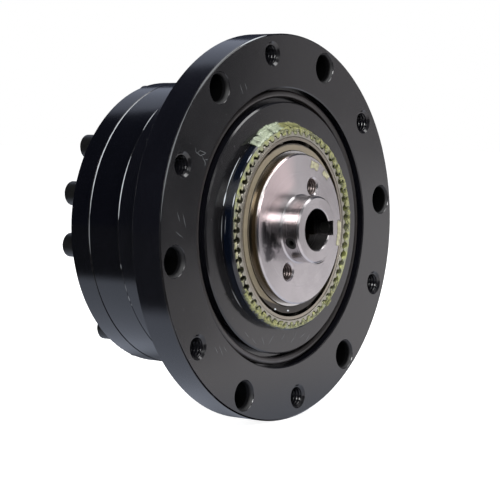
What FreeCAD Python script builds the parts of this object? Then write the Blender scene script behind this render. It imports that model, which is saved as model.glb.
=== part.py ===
import FreeCAD, Part
import Sketcher
import math
import os

# A strain wave gear. Its axis is Y: the mounting flange's front face is y = 0 and looks to -Y,
# the input side; the output side is +Y; +Z is up. Lengths are millimetres, angles are degrees.

# Driving sizes, by the piece that each belongs to. "at" is a place along Y.
SIZES = {
    # mounting flange and neck
    "flange_radius": 80.0,
    "flange_thickness": 14.5,
    "flange_chamfer": 0.6,
    "neck_radius": 61.0,
    "neck_root_fillet": 1.5,
    "neck_end_at": 38.4,
    "edge_break": 0.4,
    "cavity_radius": 50.6,
    "ledge_radius": 43.4,
    "ledge_thickness": 6.0,
    # holes of the mounting flange
    "mount_edge_margin": 8.0,
    "mount_hole_count": 6,
    "through_hole_radius": 5.5,
    "through_hole_chamfer": 1.0,
    "through_hole_chamfer_depth": 1.6,
    "tapped_hole_radius": 4.25,
    "tapped_hole_chamfer": 0.9,
    "tapped_hole_chamfer_depth": 0.9,
    # face groove and its sealing ring
    "groove_outer_radius": 57.9,
    "groove_depth": 5.0,
    "face_cord_radius": 1.6,
    # circular spline
    "spline_outer_radius": 52.2,
    "spline_face_at": 0.4,
    "spline_end_at": 18.0,
    "spline_edge_chamfer": 0.6,
    "collar_radius": 42.0,
    "collar_chamfer": 0.7,
    "rim_front_at": -4.2,
    "tooth_end_at": 10.4,
    "spline_teeth": 62,
    "spline_pitch_radius": 39.37,
    "spline_root_radius": 40.35,
    "spline_tip_radius": 38.65,
    "spline_relief_radius": 41.4,
    "tooth_space": 2.16,
    "flank_angle": 30.0,
    # screws and pins of the circular spline
    "spline_screw_circle": 46.8,
    "spline_screw_count": 8,
    "spline_screw_radius": 2.0,
    "spline_screw_head_radius": 3.5,
    "spline_screw_head_height": 4.0,
    "spline_screw_grip": 8.0,
    "spline_dowel_radius": 2.0,
    "spline_dowel_length": 12.0,
    # crossed roller bearing
    "bearing_radius": 60.4,
    "bearing_width": 16.1,
    "race_circle_radius": 45.5,
    "race_gap": 0.7,
    "roller_diameter": 6.0,
    "roller_count": 36,
    "roller_chamfer": 0.4,
    "spacer_thickness": 1.2,
    "roller_plug_radius": 4.0,
    "plug_pin_radius": 1.25,
    "plug_pin_length": 6.0,
    # rear cover and its screws
    "cover_thickness": 10.5,
    "cover_chamfer": 0.8,
    "cover_lip": 2.0,
    "cover_lip_radius": 45.6,
    "housing_screw_circle": 54.6,
    "housing_screw_radius": 3.0,
    "housing_screw_head_radius": 5.0,
    "housing_screw_head_height": 6.0,
    "housing_screw_thread": 10.0,
    "screw_groups": 4,
    "screw_step_angle": 22.5,
    # sealing rings between the casing's pieces
    "casing_ring_radius": 59.1,
    "casing_cord_radius": 0.7,
    "casing_groove_depth": 1.1,
    # shaft seal
    "seal_outer_radius": 49.4,
    "seal_width": 7.0,
    "seal_wall": 1.2,
    # output flange
    "output_face_at": 66.0,
    "output_hub_radius": 40.0,
    "output_hub_chamfer": 0.8,
    "output_disc_radius": 44.8,
    "output_spigot_radius": 28.0,
    "output_screw_circle": 32.0,
    "output_screw_count": 12,
    "output_screw_radius": 2.5,
    "output_screw_depth": 13.0,
    "output_screw_chamfer": 0.6,
    "pilot_radius": 24.0,
    "pilot_depth": 3.0,
    # flexspline, with its radii before the wave generator makes it oval
    "flex_teeth": 60,
    "flex_pitch_radius": 38.1,
    "flex_tip_radius": 38.9,
    "flex_root_radius": 37.45,
    "flex_tooth_width": 1.8,
    "flex_wall_radius": 37.2,
    "flex_wall_thickness": 0.75,
    "flex_rim_end_at": 10.0,
    "flex_round_at": 27.0,
    "flex_back_radius": 3.5,
    "diaphragm_thickness": 1.4,
    "boss_radius": 26.0,
    "boss_thickness": 4.5,
    "boss_bore_radius": 11.0,
    "boss_end_at": 34.0,
    # clamping of the flexspline
    "clamp_thickness": 3.5,
    "clamp_margin": 0.8,
    "boss_screw_circle": 18.5,
    "boss_screw_count": 8,
    "boss_screw_radius": 2.5,
    "boss_screw_head_radius": 4.25,
    "boss_screw_head_height": 5.0,
    "boss_screw_thread": 11.0,
    "boss_dowel_radius": 2.5,
    "boss_dowel_length": 14.0,
    # wave generator: radii before the oval, the oval's height at the teeth, and where it stands
    "wave_height": 1.15,
    "wave_angle": 6.0,
    "plug_face_at": -7.7,
    "plug_lip_radius": 30.1,
    "plug_lip_chamfer": 0.6,
    "plug_seat_radius": 28.6,
    "hub_radius": 13.7,
    "hub_front_at": -16.2,
    "hub_chamfer": 0.7,
    "hub_root_fillet": 0.6,
    "bore_radius": 8.5,
    "bore_chamfer": 0.4,
    "key_width": 6.0,
    "key_depth": 2.8,
    "puller_circle": 19.1,
    "puller_radius": 3.4,
    "puller_chamfer": 0.6,
    "puller_angle": 62.5,
    # set screws of the hub
    "set_screw_at": -12.0,
    "set_screw_radius": 2.5,
    "set_screw_angle": 201.0,
    # wave generator bearing
    "wave_bearing_at": -4.0,
    "wave_bearing_width": 12.0,
    "wave_inner_ring_radius": 31.1,
    "wave_outer_bore_radius": 35.35,
    "wave_outer_ring_radius": 36.75,
    "ball_circle_radius": 33.25,
    "ball_radius": 2.6,
    "ball_count": 23,
    "ball_clearance": 0.1,
    "cage_inner_radius": 31.4,
    "cage_outer_radius": 34.0,
    "cage_front_at": -3.5,
    "cage_end_at": 6.9,
    "cage_pocket_clearance": 0.25,
    # retainer behind the bearing
    "retainer_thickness": 1.6,
    "retainer_bore_radius": 15.0,
    "retainer_radius": 30.4,
    "retainer_screw_circle": 22.5,
    "retainer_screw_count": 4,
    "retainer_screw_radius": 1.5,
    "retainer_screw_head_radius": 2.75,
    "retainer_screw_head_height": 1.7,
    "retainer_screw_depth": 6.0,
    # clearances
    "seat_clearance": 0.02,
    "screw_clearance": 0.3,
    "thread_clearance": 0.03,
    "running_clearance": 0.05,
    "roller_clearance": 0.02,
    "face_clearance": 0.01,
}

doc = FreeCAD.newDocument("StrainWaveGear")
sheet = doc.addObject("Spreadsheet::Sheet", "Size")
for row, (size_name, number) in enumerate(SIZES.items(), start=1):
    sheet.set("A%d" % row, size_name)
    sheet.set("B%d" % row, str(number))
    sheet.setAlias("B%d" % row, size_name)
doc.recompute()

# Expressions that several pieces share. Each is text that the document works out from the sheet.
MOUNT_CIRCLE = "(Size.flange_radius - Size.mount_edge_margin)"
LEDGE_END = "Size.spline_end_at + Size.ledge_thickness"
BEARING_END = "Size.neck_end_at + Size.bearing_width"
COVER_END = "Size.neck_end_at + Size.bearing_width + Size.cover_thickness"
RACE_AT = "Size.neck_end_at + Size.bearing_width / 2"
RACE_REACH = "(Size.roller_diameter / sqrt(2) + Size.roller_clearance * sqrt(2))"
SEAL_END = "Size.neck_end_at + Size.bearing_width + Size.cover_lip + Size.seal_width"
BOSS_FRONT = "Size.boss_end_at - Size.boss_thickness"
CLAMP_FRONT = "Size.boss_end_at - Size.boss_thickness - Size.clamp_thickness"
WAVE_BEARING_END = "Size.wave_bearing_at + Size.wave_bearing_width"
OVAL = "(Size.wave_height / Size.flex_pitch_radius)"
BALLS_AT = "Size.wave_bearing_at + Size.wave_bearing_width / 2"

AXIS_Y = FreeCAD.Vector(0, 1, 0)
AXIS_Z = FreeCAD.Vector(0, 0, 1)
ORIGIN = FreeCAD.Vector(0, 0, 0)


def size(name):
    """The number in the sheet under that name."""
    return float(sheet.get(name))


def count(name):
    return int(round(size(name)))


OVAL_FACTOR = size("wave_height") / size("flex_pitch_radius")
RACE_CENTRE = size("neck_end_at") + size("bearing_width") / 2
BALLS_CENTRE = size("wave_bearing_at") + size("wave_bearing_width") / 2


def new_body(name):
    body = doc.addObject("PartDesign::Body", name)
    body.Label = name
    return body


def origin_part(body, role):
    return [feature for feature in body.Origin.OriginFeatures if feature.Role == role][0]


def new_sketch(body, name, plane="XY_Plane"):
    sketch = body.newObject("Sketcher::SketchObject", body.Name + "_" + name)
    sketch.AttachmentSupport = [(origin_part(body, plane), "")]
    sketch.MapMode = "FlatFace"
    return sketch


def hold_point(sketch, line, end, across, along, label):
    """Ties one end of a line to two distances from the sketch's origin."""
    for kind, text, letter in (("DistanceX", across, "x"), ("DistanceY", along, "y")):
        where = getattr(sketch.getPoint(line, end), letter)
        number = sketch.addConstraint(Sketcher.Constraint(kind, -1, 1, line, end, where))
        sketch.renameConstraint(number, label + letter)
        sketch.setExpression("Constraints." + label + letter, text)


def outline(body, name, corners, plane="XY_Plane"):
    """A closed outline of straight lines. Each corner is a pair of expressions."""
    sketch = new_sketch(body, name, plane)
    total = len(corners)
    start = [FreeCAD.Vector(50 + 20 * math.cos(2 * math.pi * k / total), 20 * math.sin(2 * math.pi * k / total), 0)
             for k in range(total)]
    for k in range(total):
        sketch.addGeometry(Part.LineSegment(start[k], start[(k + 1) % total]), False)
    for k in range(total):
        sketch.addConstraint(Sketcher.Constraint("Coincident", k, 2, (k + 1) % total, 1))
    for k, (across, along) in enumerate(corners):
        hold_point(sketch, k, 1, across, along, "corner%d" % k)
    return sketch


def revolve(body, name, corners):
    """A turned shape: corners are (radius, place along Y)."""
    sketch = outline(body, name + "_profile", corners)
    turned = body.newObject("PartDesign::Revolution", body.Name + "_" + name)
    turned.Profile = (sketch, [""])
    turned.ReferenceAxis = (sketch, ["V_Axis"])
    turned.Angle = 360
    doc.recompute()
    return turned


def turned_cut(body, name, corners):
    """A turned recess, with corners as in revolve."""
    sketch = outline(body, name + "_profile", corners)
    cut = body.newObject("PartDesign::Groove", body.Name + "_" + name)
    cut.Profile = (sketch, [""])
    cut.ReferenceAxis = (sketch, ["V_Axis"])
    cut.Angle = 360
    doc.recompute()
    return cut


def bored_hole(body, name, offset, corners, plane="YZ_Plane"):
    """A drilled hole along Y whose middle lies at offset from the gear's axis.

    Corners are (place along Y, distance from the hole's middle). On the YZ plane the hole is at the top,
    on the XY plane at the +X side.
    """
    if plane == "YZ_Plane":
        pairs = [(along, offset + " + " + radius) for along, radius in corners]
    else:
        pairs = [(offset + " + " + radius, along) for along, radius in corners]
    sketch = outline(body, name + "_profile", pairs, plane)
    lines = sketch.GeometryCount
    if plane == "YZ_Plane":
        sketch.addGeometry(Part.LineSegment(FreeCAD.Vector(0, 30, 0), FreeCAD.Vector(9, 30, 0)), True)
        first, second = ("0", offset), ("10", offset)
    else:
        sketch.addGeometry(Part.LineSegment(FreeCAD.Vector(30, 0, 0), FreeCAD.Vector(30, 9, 0)), True)
        first, second = (offset, "0"), (offset, "10")
    hold_point(sketch, lines, 1, first[0], first[1], "axis_start")
    hold_point(sketch, lines, 2, second[0], second[1], "axis_end")
    cut = body.newObject("PartDesign::Groove", body.Name + "_" + name)
    cut.Profile = (sketch, [""])
    cut.ReferenceAxis = (sketch, ["Axis0"])
    cut.Angle = 360
    doc.recompute()
    return cut


def around(body, feature, copies, name):
    """Repeats a feature round the gear's axis."""
    pattern = body.newObject("PartDesign::PolarPattern", body.Name + "_" + name)
    pattern.Originals = feature if isinstance(feature, list) else [feature]
    pattern.Axis = (origin_part(body, "Y_Axis"), [""])
    pattern.Angle = 360
    pattern.setExpression("Occurrences", copies)
    body.Tip = pattern
    doc.recompute()
    return pattern


def circles(body, name, items, plane="XZ_Plane"):
    """A sketch of circles: each item is (across, up, radius), all expressions."""
    sketch = new_sketch(body, name, plane)
    for k, (across, up, radius) in enumerate(items):
        sketch.addGeometry(Part.Circle(FreeCAD.Vector(10 + 10 * k, 10, 0), AXIS_Z, 2 + 0.1 * k), False)
        hold_point(sketch, k, 3, across, up, "circle%d" % k)
        number = sketch.addConstraint(Sketcher.Constraint("Radius", k, 2 + 0.1 * k))
        sketch.renameConstraint(number, "radius%d" % k)
        sketch.setExpression("Constraints.radius%d" % k, radius)
    return sketch


def on_circle(radius, angle):
    """Expressions for a place on a circle: across and up."""
    return "(" + radius + ") * cos(" + angle + ")", "(" + radius + ") * sin(" + angle + ")"


def through_cut(body, name, sketch):
    cut = body.newObject("PartDesign::Pocket", body.Name + "_" + name)
    cut.Profile = (sketch, [""])
    cut.Type = "ThroughAll"
    cut.SideType = "Symmetric"
    doc.recompute()
    return cut


def edges_on(shape, radius, along):
    """Names of the round edges of that radius about the gear's axis at that place along it."""
    names = []
    for number, edge in enumerate(shape.Edges, start=1):
        box = edge.BoundBox
        flat = abs(box.YMin - along) < 0.01 and abs(box.YMax - along) < 0.01
        if flat and abs(box.XMax - radius) < 0.02 and abs(box.XMin + radius) < 0.02:
            names.append("Edge%d" % number)
    return names


def bevel(body, name, kind, amount, edge_names, base):
    feature = body.newObject("PartDesign::" + kind, body.Name + "_" + name)
    feature.Base = (base, edge_names)
    feature.setExpression("Radius" if kind == "Fillet" else "Size", amount)
    doc.recompute()
    return feature


def group(name, shapes):
    """One node that holds several separate solids."""
    piece = doc.addObject("Part::Feature", name)
    piece.Label = name
    piece.Shape = Part.makeCompound(shapes)
    return piece


def turned_about_y(shape, angle):
    copy = shape.copy()
    copy.rotate(ORIGIN, AXIS_Y, angle)
    return copy


def to_oval(shape):
    """Squeezes a round shape to the wave generator's oval, long across Z, and turns it to its rest angle."""
    matrix = FreeCAD.Matrix()
    matrix.A11 = 1 - OVAL_FACTOR
    matrix.A33 = 1 + OVAL_FACTOR
    return turned_about_y(shape.transformGeometry(matrix), size("wave_angle"))


def ring_of_cord(name, ring_radius, cord_radius, along):
    """A sealing ring: a torus about the gear's axis."""
    ring = doc.addObject("Part::Torus", name)
    ring.Label = name
    ring.setExpression("Radius1", ring_radius)
    ring.setExpression("Radius2", cord_radius)
    ring.Placement = FreeCAD.Placement(ORIGIN, FreeCAD.Rotation(FreeCAD.Vector(1, 0, 0), -90))
    ring.setExpression("Placement.Base.y", along)
    return ring


def cap_screw(name, radius, head_radius, head_height, under_head_at, tip_at, direction):
    """A socket head screw on the gear's axis. direction is +1 when the head points to +Y."""
    body = new_body(name)
    sign = "+" if direction > 0 else "-"
    head_at = "%s %s %s" % (under_head_at, sign, head_height)
    rim_at = "%s %s 0.9 * %s" % (under_head_at, sign, head_height)
    point_at = "%s %s 0.25 * %s" % (tip_at, sign, radius)
    revolve(body, "blank", [
        ("0", tip_at), ("0.75 * " + radius, tip_at), (radius, point_at), (radius, under_head_at),
        (head_radius, under_head_at), (head_radius, rim_at),
        (head_radius + " - 0.1 * " + head_height, head_at), ("0", head_at)])
    socket = new_sketch(body, "socket", "XZ_Plane")
    socket.AttachmentOffset = FreeCAD.Placement(ORIGIN, FreeCAD.Rotation())
    socket.setExpression("AttachmentOffset.Base.z", "-(" + head_at + ")")
    flats = 6
    corner = 3.0
    for k in range(flats):
        here, there = (2 * math.pi * j / flats for j in (k, k + 1))
        socket.addGeometry(Part.LineSegment(
            FreeCAD.Vector(corner * math.cos(here), corner * math.sin(here), 0),
            FreeCAD.Vector(corner * math.cos(there), corner * math.sin(there), 0)), False)
    for k in range(flats):
        socket.addConstraint(Sketcher.Constraint("Coincident", k, 2, (k + 1) % flats, 1))
    for k in range(flats):
        across, up = on_circle("0.96 * " + radius, "%d deg" % (60 * k))
        hold_point(socket, k, 1, across, up, "flat%d" % k)
    cut = body.newObject("PartDesign::Pocket", name + "_socket_cut")
    cut.Profile = (socket, [""])
    cut.Type = "Length"
    cut.setExpression("Length", "0.55 * " + head_height)
    cut.Reversed = direction > 0
    doc.recompute()
    return body


# Casing

def flange_housing():
    body = new_body("flange_housing")
    bore = "Size.spline_outer_radius + Size.seat_clearance"
    ring_in = "Size.casing_ring_radius - Size.casing_cord_radius - 0.1"
    ring_out = "Size.casing_ring_radius + Size.casing_cord_radius + 0.1"
    ring_floor = "Size.neck_end_at - Size.casing_groove_depth"
    revolve(body, "blank", [
        ("Size.groove_outer_radius + Size.edge_break", "0"),
        ("Size.flange_radius - Size.flange_chamfer", "0"),
        ("Size.flange_radius", "Size.flange_chamfer"),
        ("Size.flange_radius", "Size.flange_thickness - Size.flange_chamfer"),
        ("Size.flange_radius - Size.flange_chamfer", "Size.flange_thickness"),
        ("Size.neck_radius", "Size.flange_thickness"),
        ("Size.neck_radius", "Size.neck_end_at - Size.edge_break"),
        ("Size.neck_radius - Size.edge_break", "Size.neck_end_at"),
        (ring_out, "Size.neck_end_at"),
        (ring_out, ring_floor),
        (ring_in, ring_floor),
        (ring_in, "Size.neck_end_at"),
        ("Size.cavity_radius", "Size.neck_end_at"),
        ("Size.cavity_radius", LEDGE_END),
        ("Size.ledge_radius", LEDGE_END),
        ("Size.ledge_radius", "Size.spline_end_at"),
        (bore, "Size.spline_end_at"),
        (bore, "Size.groove_depth"),
        ("Size.groove_outer_radius", "Size.groove_depth"),
        ("Size.groove_outer_radius", "Size.edge_break")])
    root = edges_on(body.Shape, size("neck_radius"), size("flange_thickness"))
    bevel(body, "root", "Fillet", "Size.neck_root_fillet", root, body.Tip)
    back = "Size.flange_thickness"
    for name, plane in (("through_hole", "XY_Plane"), ("tapped_hole", "YZ_Plane")):
        radius = "Size.%s_radius" % name
        wide = "%s + Size.%s_chamfer" % (radius, name)
        depth = "Size.%s_chamfer_depth" % name
        hole = bored_hole(body, name, MOUNT_CIRCLE, [
            ("-1", "0"), ("-1", wide), ("0", wide), (depth, radius),
            (back + " - " + depth, radius), (back, wide), (back + " + 1", wide), (back + " + 1", "0")], plane)
        around(body, hole, "Size.mount_hole_count", name + "s")
    # tapped holes for the long screws, from the neck's end
    reach = "Size.neck_end_at - Size.housing_screw_thread - 1"
    thread = "Size.housing_screw_radius + Size.thread_clearance"
    screw_holes(body, "long_hole", thread, reach, "Size.neck_end_at + 1")
    # clearance holes for the screws of the circular spline
    grip = "Size.spline_screw_radius + Size.screw_clearance"
    hole = bored_hole(body, "spline_hole", "Size.spline_screw_circle", [
        ("Size.spline_end_at - 1", "0"), ("Size.spline_end_at - 1", grip),
        (LEDGE_END + " + 1", grip), (LEDGE_END + " + 1", "0")])
    around(body, hole, "Size.spline_screw_count", "spline_holes")
    pin = "Size.spline_dowel_radius + Size.seat_clearance"
    dowel_holes(body, "dowel_hole", "Size.spline_screw_circle", pin, "Size.spline_end_at - 1", LEDGE_END + " + 1",
                "180 deg / Size.spline_screw_count")
    return body


def screw_holes(body, name, radius, start, end):
    """Holes for the long screws: groups of three, one step apart, repeated round the axis."""
    spots = [on_circle("Size.housing_screw_circle", "%d * Size.screw_step_angle * 1 deg" % -k) for k in range(3)]
    sketch = circles(body, name, [(across, up, radius) for across, up in spots])
    sketch.setExpression("AttachmentOffset.Base.z", "-(" + end + ")")
    cut = body.newObject("PartDesign::Pocket", body.Name + "_" + name)
    cut.Profile = (sketch, [""])
    cut.Type = "Length"
    cut.Reversed = True
    cut.setExpression("Length", "(" + end + ") - (" + start + ")")
    doc.recompute()
    around(body, cut, "Size.screw_groups", name + "s")


def dowel_holes(body, name, circle, radius, start, end, angle):
    """Two holes across from each other for locating pins."""
    spots = [on_circle(circle, angle + turn) for turn in ("", " + 180 deg")]
    sketch = circles(body, name, [(across, up, radius) for across, up in spots])
    sketch.setExpression("AttachmentOffset.Base.z", "-(" + end + ")")
    cut = body.newObject("PartDesign::Pocket", body.Name + "_" + name)
    cut.Profile = (sketch, [""])
    cut.Type = "Length"
    cut.Reversed = True
    cut.setExpression("Length", "(" + end + ") - (" + start + ")")
    body.Tip = cut
    doc.recompute()


def circular_spline():
    body = new_body("circular_spline")
    mouth = "Size.spline_tip_radius + 0.3"
    edge = "Size.spline_outer_radius - Size.spline_edge_chamfer"
    revolve(body, "blank", [
        (mouth, "Size.rim_front_at"),
        ("Size.collar_radius - Size.collar_chamfer", "Size.rim_front_at"),
        ("Size.collar_radius", "Size.rim_front_at + Size.collar_chamfer"),
        ("Size.collar_radius", "Size.spline_face_at"),
        (edge, "Size.spline_face_at"),
        ("Size.spline_outer_radius", "Size.spline_face_at + Size.spline_edge_chamfer"),
        ("Size.spline_outer_radius", "Size.spline_end_at"),
        ("Size.spline_relief_radius", "Size.spline_end_at"),
        ("Size.spline_relief_radius", "Size.tooth_end_at"),
        ("Size.spline_tip_radius", "Size.tooth_end_at"),
        ("Size.spline_tip_radius", "Size.rim_front_at + 0.3")])
    # one space between two teeth, at the top, then turned round the ring
    lean = "tan(Size.flank_angle * 1 deg)"
    root = "(Size.tooth_space / 2 - (Size.spline_root_radius - Size.spline_pitch_radius) * " + lean + ")"
    inside = "(Size.spline_tip_radius - 1)"
    tip = "(Size.tooth_space / 2 + (Size.spline_pitch_radius - " + inside + ") * " + lean + ")"
    sketch = outline(body, "tooth_space", [
        ("-" + tip, inside), (tip, inside), (root, "Size.spline_root_radius"), ("-" + root, "Size.spline_root_radius")],
        "XZ_Plane")
    cut = body.newObject("PartDesign::Pocket", "circular_spline_tooth_cut")
    sketch.setExpression("AttachmentOffset.Base.z", "-(Size.rim_front_at - 1)")
    cut.Profile = (sketch, [""])
    cut.Type = "Length"
    cut.setExpression("Length", "Size.tooth_end_at + 2 - Size.rim_front_at")
    doc.recompute()
    around(body, cut, "Size.spline_teeth", "teeth")
    # screw and pin holes from behind, turned back by the ring's own rest angle
    thread = "Size.spline_screw_radius + Size.thread_clearance"
    start = "Size.spline_end_at - Size.spline_screw_grip - 1"
    count_text = "Size.spline_screw_count"
    spots = [on_circle("Size.spline_screw_circle", "90 deg + Size.wave_angle * 1 deg")]
    sketch = circles(body, "screw_hole", [(across, up, thread) for across, up in spots])
    sketch.setExpression("AttachmentOffset.Base.z", "-(Size.spline_end_at + 1)")
    hole = body.newObject("PartDesign::Pocket", "circular_spline_screw_hole_cut")
    hole.Profile = (sketch, [""])
    hole.Type = "Length"
    hole.Reversed = True
    hole.setExpression("Length", "Size.spline_end_at + 1 - (" + start + ")")
    doc.recompute()
    around(body, hole, count_text, "screw_holes")
    pin = "Size.spline_dowel_radius + Size.seat_clearance"
    depth = LEDGE_END + " - Size.spline_dowel_length - 0.5"
    dowel_holes(body, "dowel_hole", "Size.spline_screw_circle", pin, depth, "Size.spline_end_at + 1",
                "180 deg / Size.spline_screw_count + Size.wave_angle * 1 deg")
    body.Placement = FreeCAD.Placement(ORIGIN, FreeCAD.Rotation(AXIS_Y, size("wave_angle")))
    body.setExpression("Placement.Rotation.Angle", "Size.wave_angle * 1 deg")
    doc.recompute()
    return body


def spline_screws():
    tip = "Size.spline_end_at - Size.spline_screw_grip"
    screw = cap_screw("spline_screw_model", "Size.spline_screw_radius", "Size.spline_screw_head_radius",
                      "Size.spline_screw_head_height", LEDGE_END, tip, 1)
    total = count("spline_screw_count")
    spots = [size("spline_screw_circle") * AXIS_Z] * total
    shapes = []
    for k, spot in enumerate(spots):
        shape = screw.Shape.copy()
        shape.translate(spot)
        shapes.append(turned_about_y(shape, 360 * k / total))
    return group("spline_screws", shapes)


def pins(name, circle, radius, length, end_at, angle):
    """Two locating pins across from each other."""
    shapes = []
    for turn in (0, 180):
        way = math.radians(angle + turn)
        start = FreeCAD.Vector(circle * math.cos(way), end_at - length, circle * math.sin(way))
        pin = Part.makeCylinder(radius, length, start, AXIS_Y)
        shapes.append(pin.makeChamfer(0.1 * radius, [edge for edge in pin.Edges if edge.Closed]))
    return group(name, shapes)


def bearing_outer_ring():
    body = new_body("bearing_outer_ring")
    inner = "Size.race_circle_radius + Size.race_gap"
    mouth = "(" + RACE_REACH + " - Size.race_gap)"
    apex = "Size.race_circle_radius + " + RACE_REACH
    bottom = "Size.neck_end_at + Size.face_clearance"
    revolve(body, "blank", [
        (inner, bottom),
        ("Size.bearing_radius - Size.edge_break", bottom),
        ("Size.bearing_radius", bottom + " + Size.edge_break"),
        ("Size.bearing_radius", BEARING_END + " - Size.edge_break"),
        ("Size.bearing_radius - Size.edge_break", BEARING_END),
        (inner, BEARING_END),
        (inner, RACE_AT + " + " + mouth),
        (apex, RACE_AT),
        (inner, RACE_AT + " - " + mouth)])
    clear = "Size.housing_screw_radius + Size.screw_clearance"
    screw_holes(body, "long_hole", clear, "Size.neck_end_at - 1", BEARING_END + " + 1")
    # radial hole for filling in the rollers, opposite the camera, in a gap between two screw groups
    sketch = circles(body, "filling_hole", [("0", RACE_AT, "Size.roller_plug_radius + Size.seat_clearance")],
                     "XY_Plane")
    tilt_to_gap(sketch)
    cut = body.newObject("PartDesign::Pocket", "bearing_outer_ring_filling_cut")
    cut.Profile = (sketch, [""])
    cut.Type = "Length"
    cut.Reversed = True
    cut.setExpression("Length", "Size.bearing_radius + 1")
    body.Tip = cut
    doc.recompute()
    # the pin that locks the plug comes from the rear face
    spot = on_circle("Size.casing_ring_radius - 4", "-3 * Size.screw_step_angle * 1 deg")
    sketch = circles(body, "pin_hole", [(spot[0], spot[1], "Size.plug_pin_radius + Size.seat_clearance")])
    sketch.setExpression("AttachmentOffset.Base.z", "-(" + BEARING_END + " + 1)")
    hole = body.newObject("PartDesign::Pocket", "bearing_outer_ring_pin_cut")
    hole.Profile = (sketch, [""])
    hole.Type = "Length"
    hole.Reversed = True
    hole.setExpression("Length", "Size.plug_pin_length + 1.2")
    body.Tip = hole
    doc.recompute()
    return body


def tilt_to_gap(sketch):
    """Turns a sketch on the XY plane about Y, so that its normal points into a gap between screw groups."""
    sketch.AttachmentOffset = FreeCAD.Placement(ORIGIN, FreeCAD.Rotation(AXIS_Y, 90 + 3 * size("screw_step_angle")))


def roller_plug():
    reach = size("bearing_radius")
    radius = size("roller_plug_radius")
    inner = size("race_circle_radius") + size("race_gap")
    plug = Part.makeCylinder(radius, reach, FreeCAD.Vector(0, RACE_CENTRE, 0), FreeCAD.Vector(1, 0, 0))
    # the plug's outer end follows the ring, its inner end has the race
    skin = Part.makeCylinder(reach, 4 * radius, FreeCAD.Vector(0, RACE_CENTRE - 2 * radius, 0), AXIS_Y)
    half = size("roller_diameter") / math.sqrt(2) + size("roller_clearance") * math.sqrt(2)
    apex = size("race_circle_radius") + half
    race = Part.makePolygon([FreeCAD.Vector(0, RACE_CENTRE - apex, 0), FreeCAD.Vector(apex, RACE_CENTRE, 0),
                             FreeCAD.Vector(0, RACE_CENTRE + apex, 0), FreeCAD.Vector(0, RACE_CENTRE - apex, 0)])
    cone = Part.Face(race).revolve(ORIGIN, AXIS_Y, 360)
    core = Part.makeCylinder(inner, 4 * radius, FreeCAD.Vector(0, RACE_CENTRE - 2 * radius, 0), AXIS_Y)
    pin_at = size("casing_ring_radius") - 4
    pin_room = Part.makeCylinder(size("plug_pin_radius") + size("seat_clearance"), 3 * radius,
                                 FreeCAD.Vector(pin_at, RACE_CENTRE + size("bearing_width") / 2
                                                - size("plug_pin_length") - 0.2, 0), AXIS_Y)
    shape = plug.common(skin).cut(cone).cut(core).cut(pin_room)
    piece = doc.addObject("Part::Feature", "roller_plug")
    piece.Label = "roller_plug"
    piece.Shape = turned_about_y(shape, 3 * size("screw_step_angle"))
    return piece


def roller_plug_pin():
    radius = size("plug_pin_radius")
    length = size("plug_pin_length")
    start = FreeCAD.Vector(size("casing_ring_radius") - 4, RACE_CENTRE + size("bearing_width") / 2 - length, 0)
    pin = Part.makeCylinder(radius, length, start, AXIS_Y)
    pin = pin.makeChamfer(0.15 * radius, [edge for edge in pin.Edges if edge.Closed])
    piece = doc.addObject("Part::Feature", "roller_plug_pin")
    piece.Label = "roller_plug_pin"
    piece.Shape = turned_about_y(pin, 3 * size("screw_step_angle"))
    return piece


def rear_cover():
    body = new_body("rear_cover")
    seat = "Size.seal_outer_radius + Size.seat_clearance"
    ring_in = "Size.casing_ring_radius - Size.casing_cord_radius - 0.1"
    ring_out = "Size.casing_ring_radius + Size.casing_cord_radius + 0.1"
    front = "(" + BEARING_END + " + Size.face_clearance)"
    revolve(body, "blank", [
        ("Size.cover_lip_radius", front),
        (ring_in, front),
        (ring_in, front + " + Size.casing_groove_depth"),
        (ring_out, front + " + Size.casing_groove_depth"),
        (ring_out, front),
        ("Size.bearing_radius - Size.edge_break", front),
        ("Size.bearing_radius", front + " + Size.edge_break"),
        ("Size.bearing_radius", COVER_END + " - Size.cover_chamfer"),
        ("Size.bearing_radius - Size.cover_chamfer", COVER_END),
        (seat + " + Size.edge_break", COVER_END),
        (seat, COVER_END + " - Size.edge_break"),
        (seat, BEARING_END + " + Size.cover_lip"),
        ("Size.cover_lip_radius", BEARING_END + " + Size.cover_lip")])
    clear = "Size.housing_screw_radius + Size.screw_clearance"
    screw_holes(body, "long_hole", clear, BEARING_END + " - 1", COVER_END + " + 1")
    return body


def housing_screws():
    tip = "Size.neck_end_at - Size.housing_screw_thread"
    screw = cap_screw("housing_screw_model", "Size.housing_screw_radius", "Size.housing_screw_head_radius",
                      "Size.housing_screw_head_height", COVER_END, tip, 1)
    shapes = []
    for turn in range(count("screw_groups")):
        for k in range(3):
            shape = screw.Shape.copy()
            shape.translate(FreeCAD.Vector(size("housing_screw_circle"), 0, 0))
            angle = 360 * turn / count("screw_groups") + k * size("screw_step_angle")
            shapes.append(turned_about_y(shape, angle))
    return group("housing_screws", shapes)


def output_seal():
    body = new_body("output_seal")
    outer = "Size.seal_outer_radius"
    lip = "Size.output_hub_radius + Size.running_clearance"
    front = BEARING_END + " + Size.cover_lip"
    revolve(body, "blank", [
        (lip, SEAL_END + " - 2.6"),
        (lip, SEAL_END + " - 2.0"),
        (lip + " + 1.2", SEAL_END + " - 1.0"),
        (lip + " + 0.6", SEAL_END),
        (outer + " - 0.3", SEAL_END),
        (outer, SEAL_END + " - 0.3"),
        (outer, front),
        (outer + " - Size.seal_wall", front),
        (outer + " - Size.seal_wall", SEAL_END + " - Size.seal_wall - 0.6"),
        (lip + " + 2.6", SEAL_END + " - Size.seal_wall - 0.6"),
        (lip + " + 2.2", SEAL_END + " - 5.4"),
        (lip + " + 0.8", SEAL_END + " - 5.4")])
    return body


# Rollers of the output bearing

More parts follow.
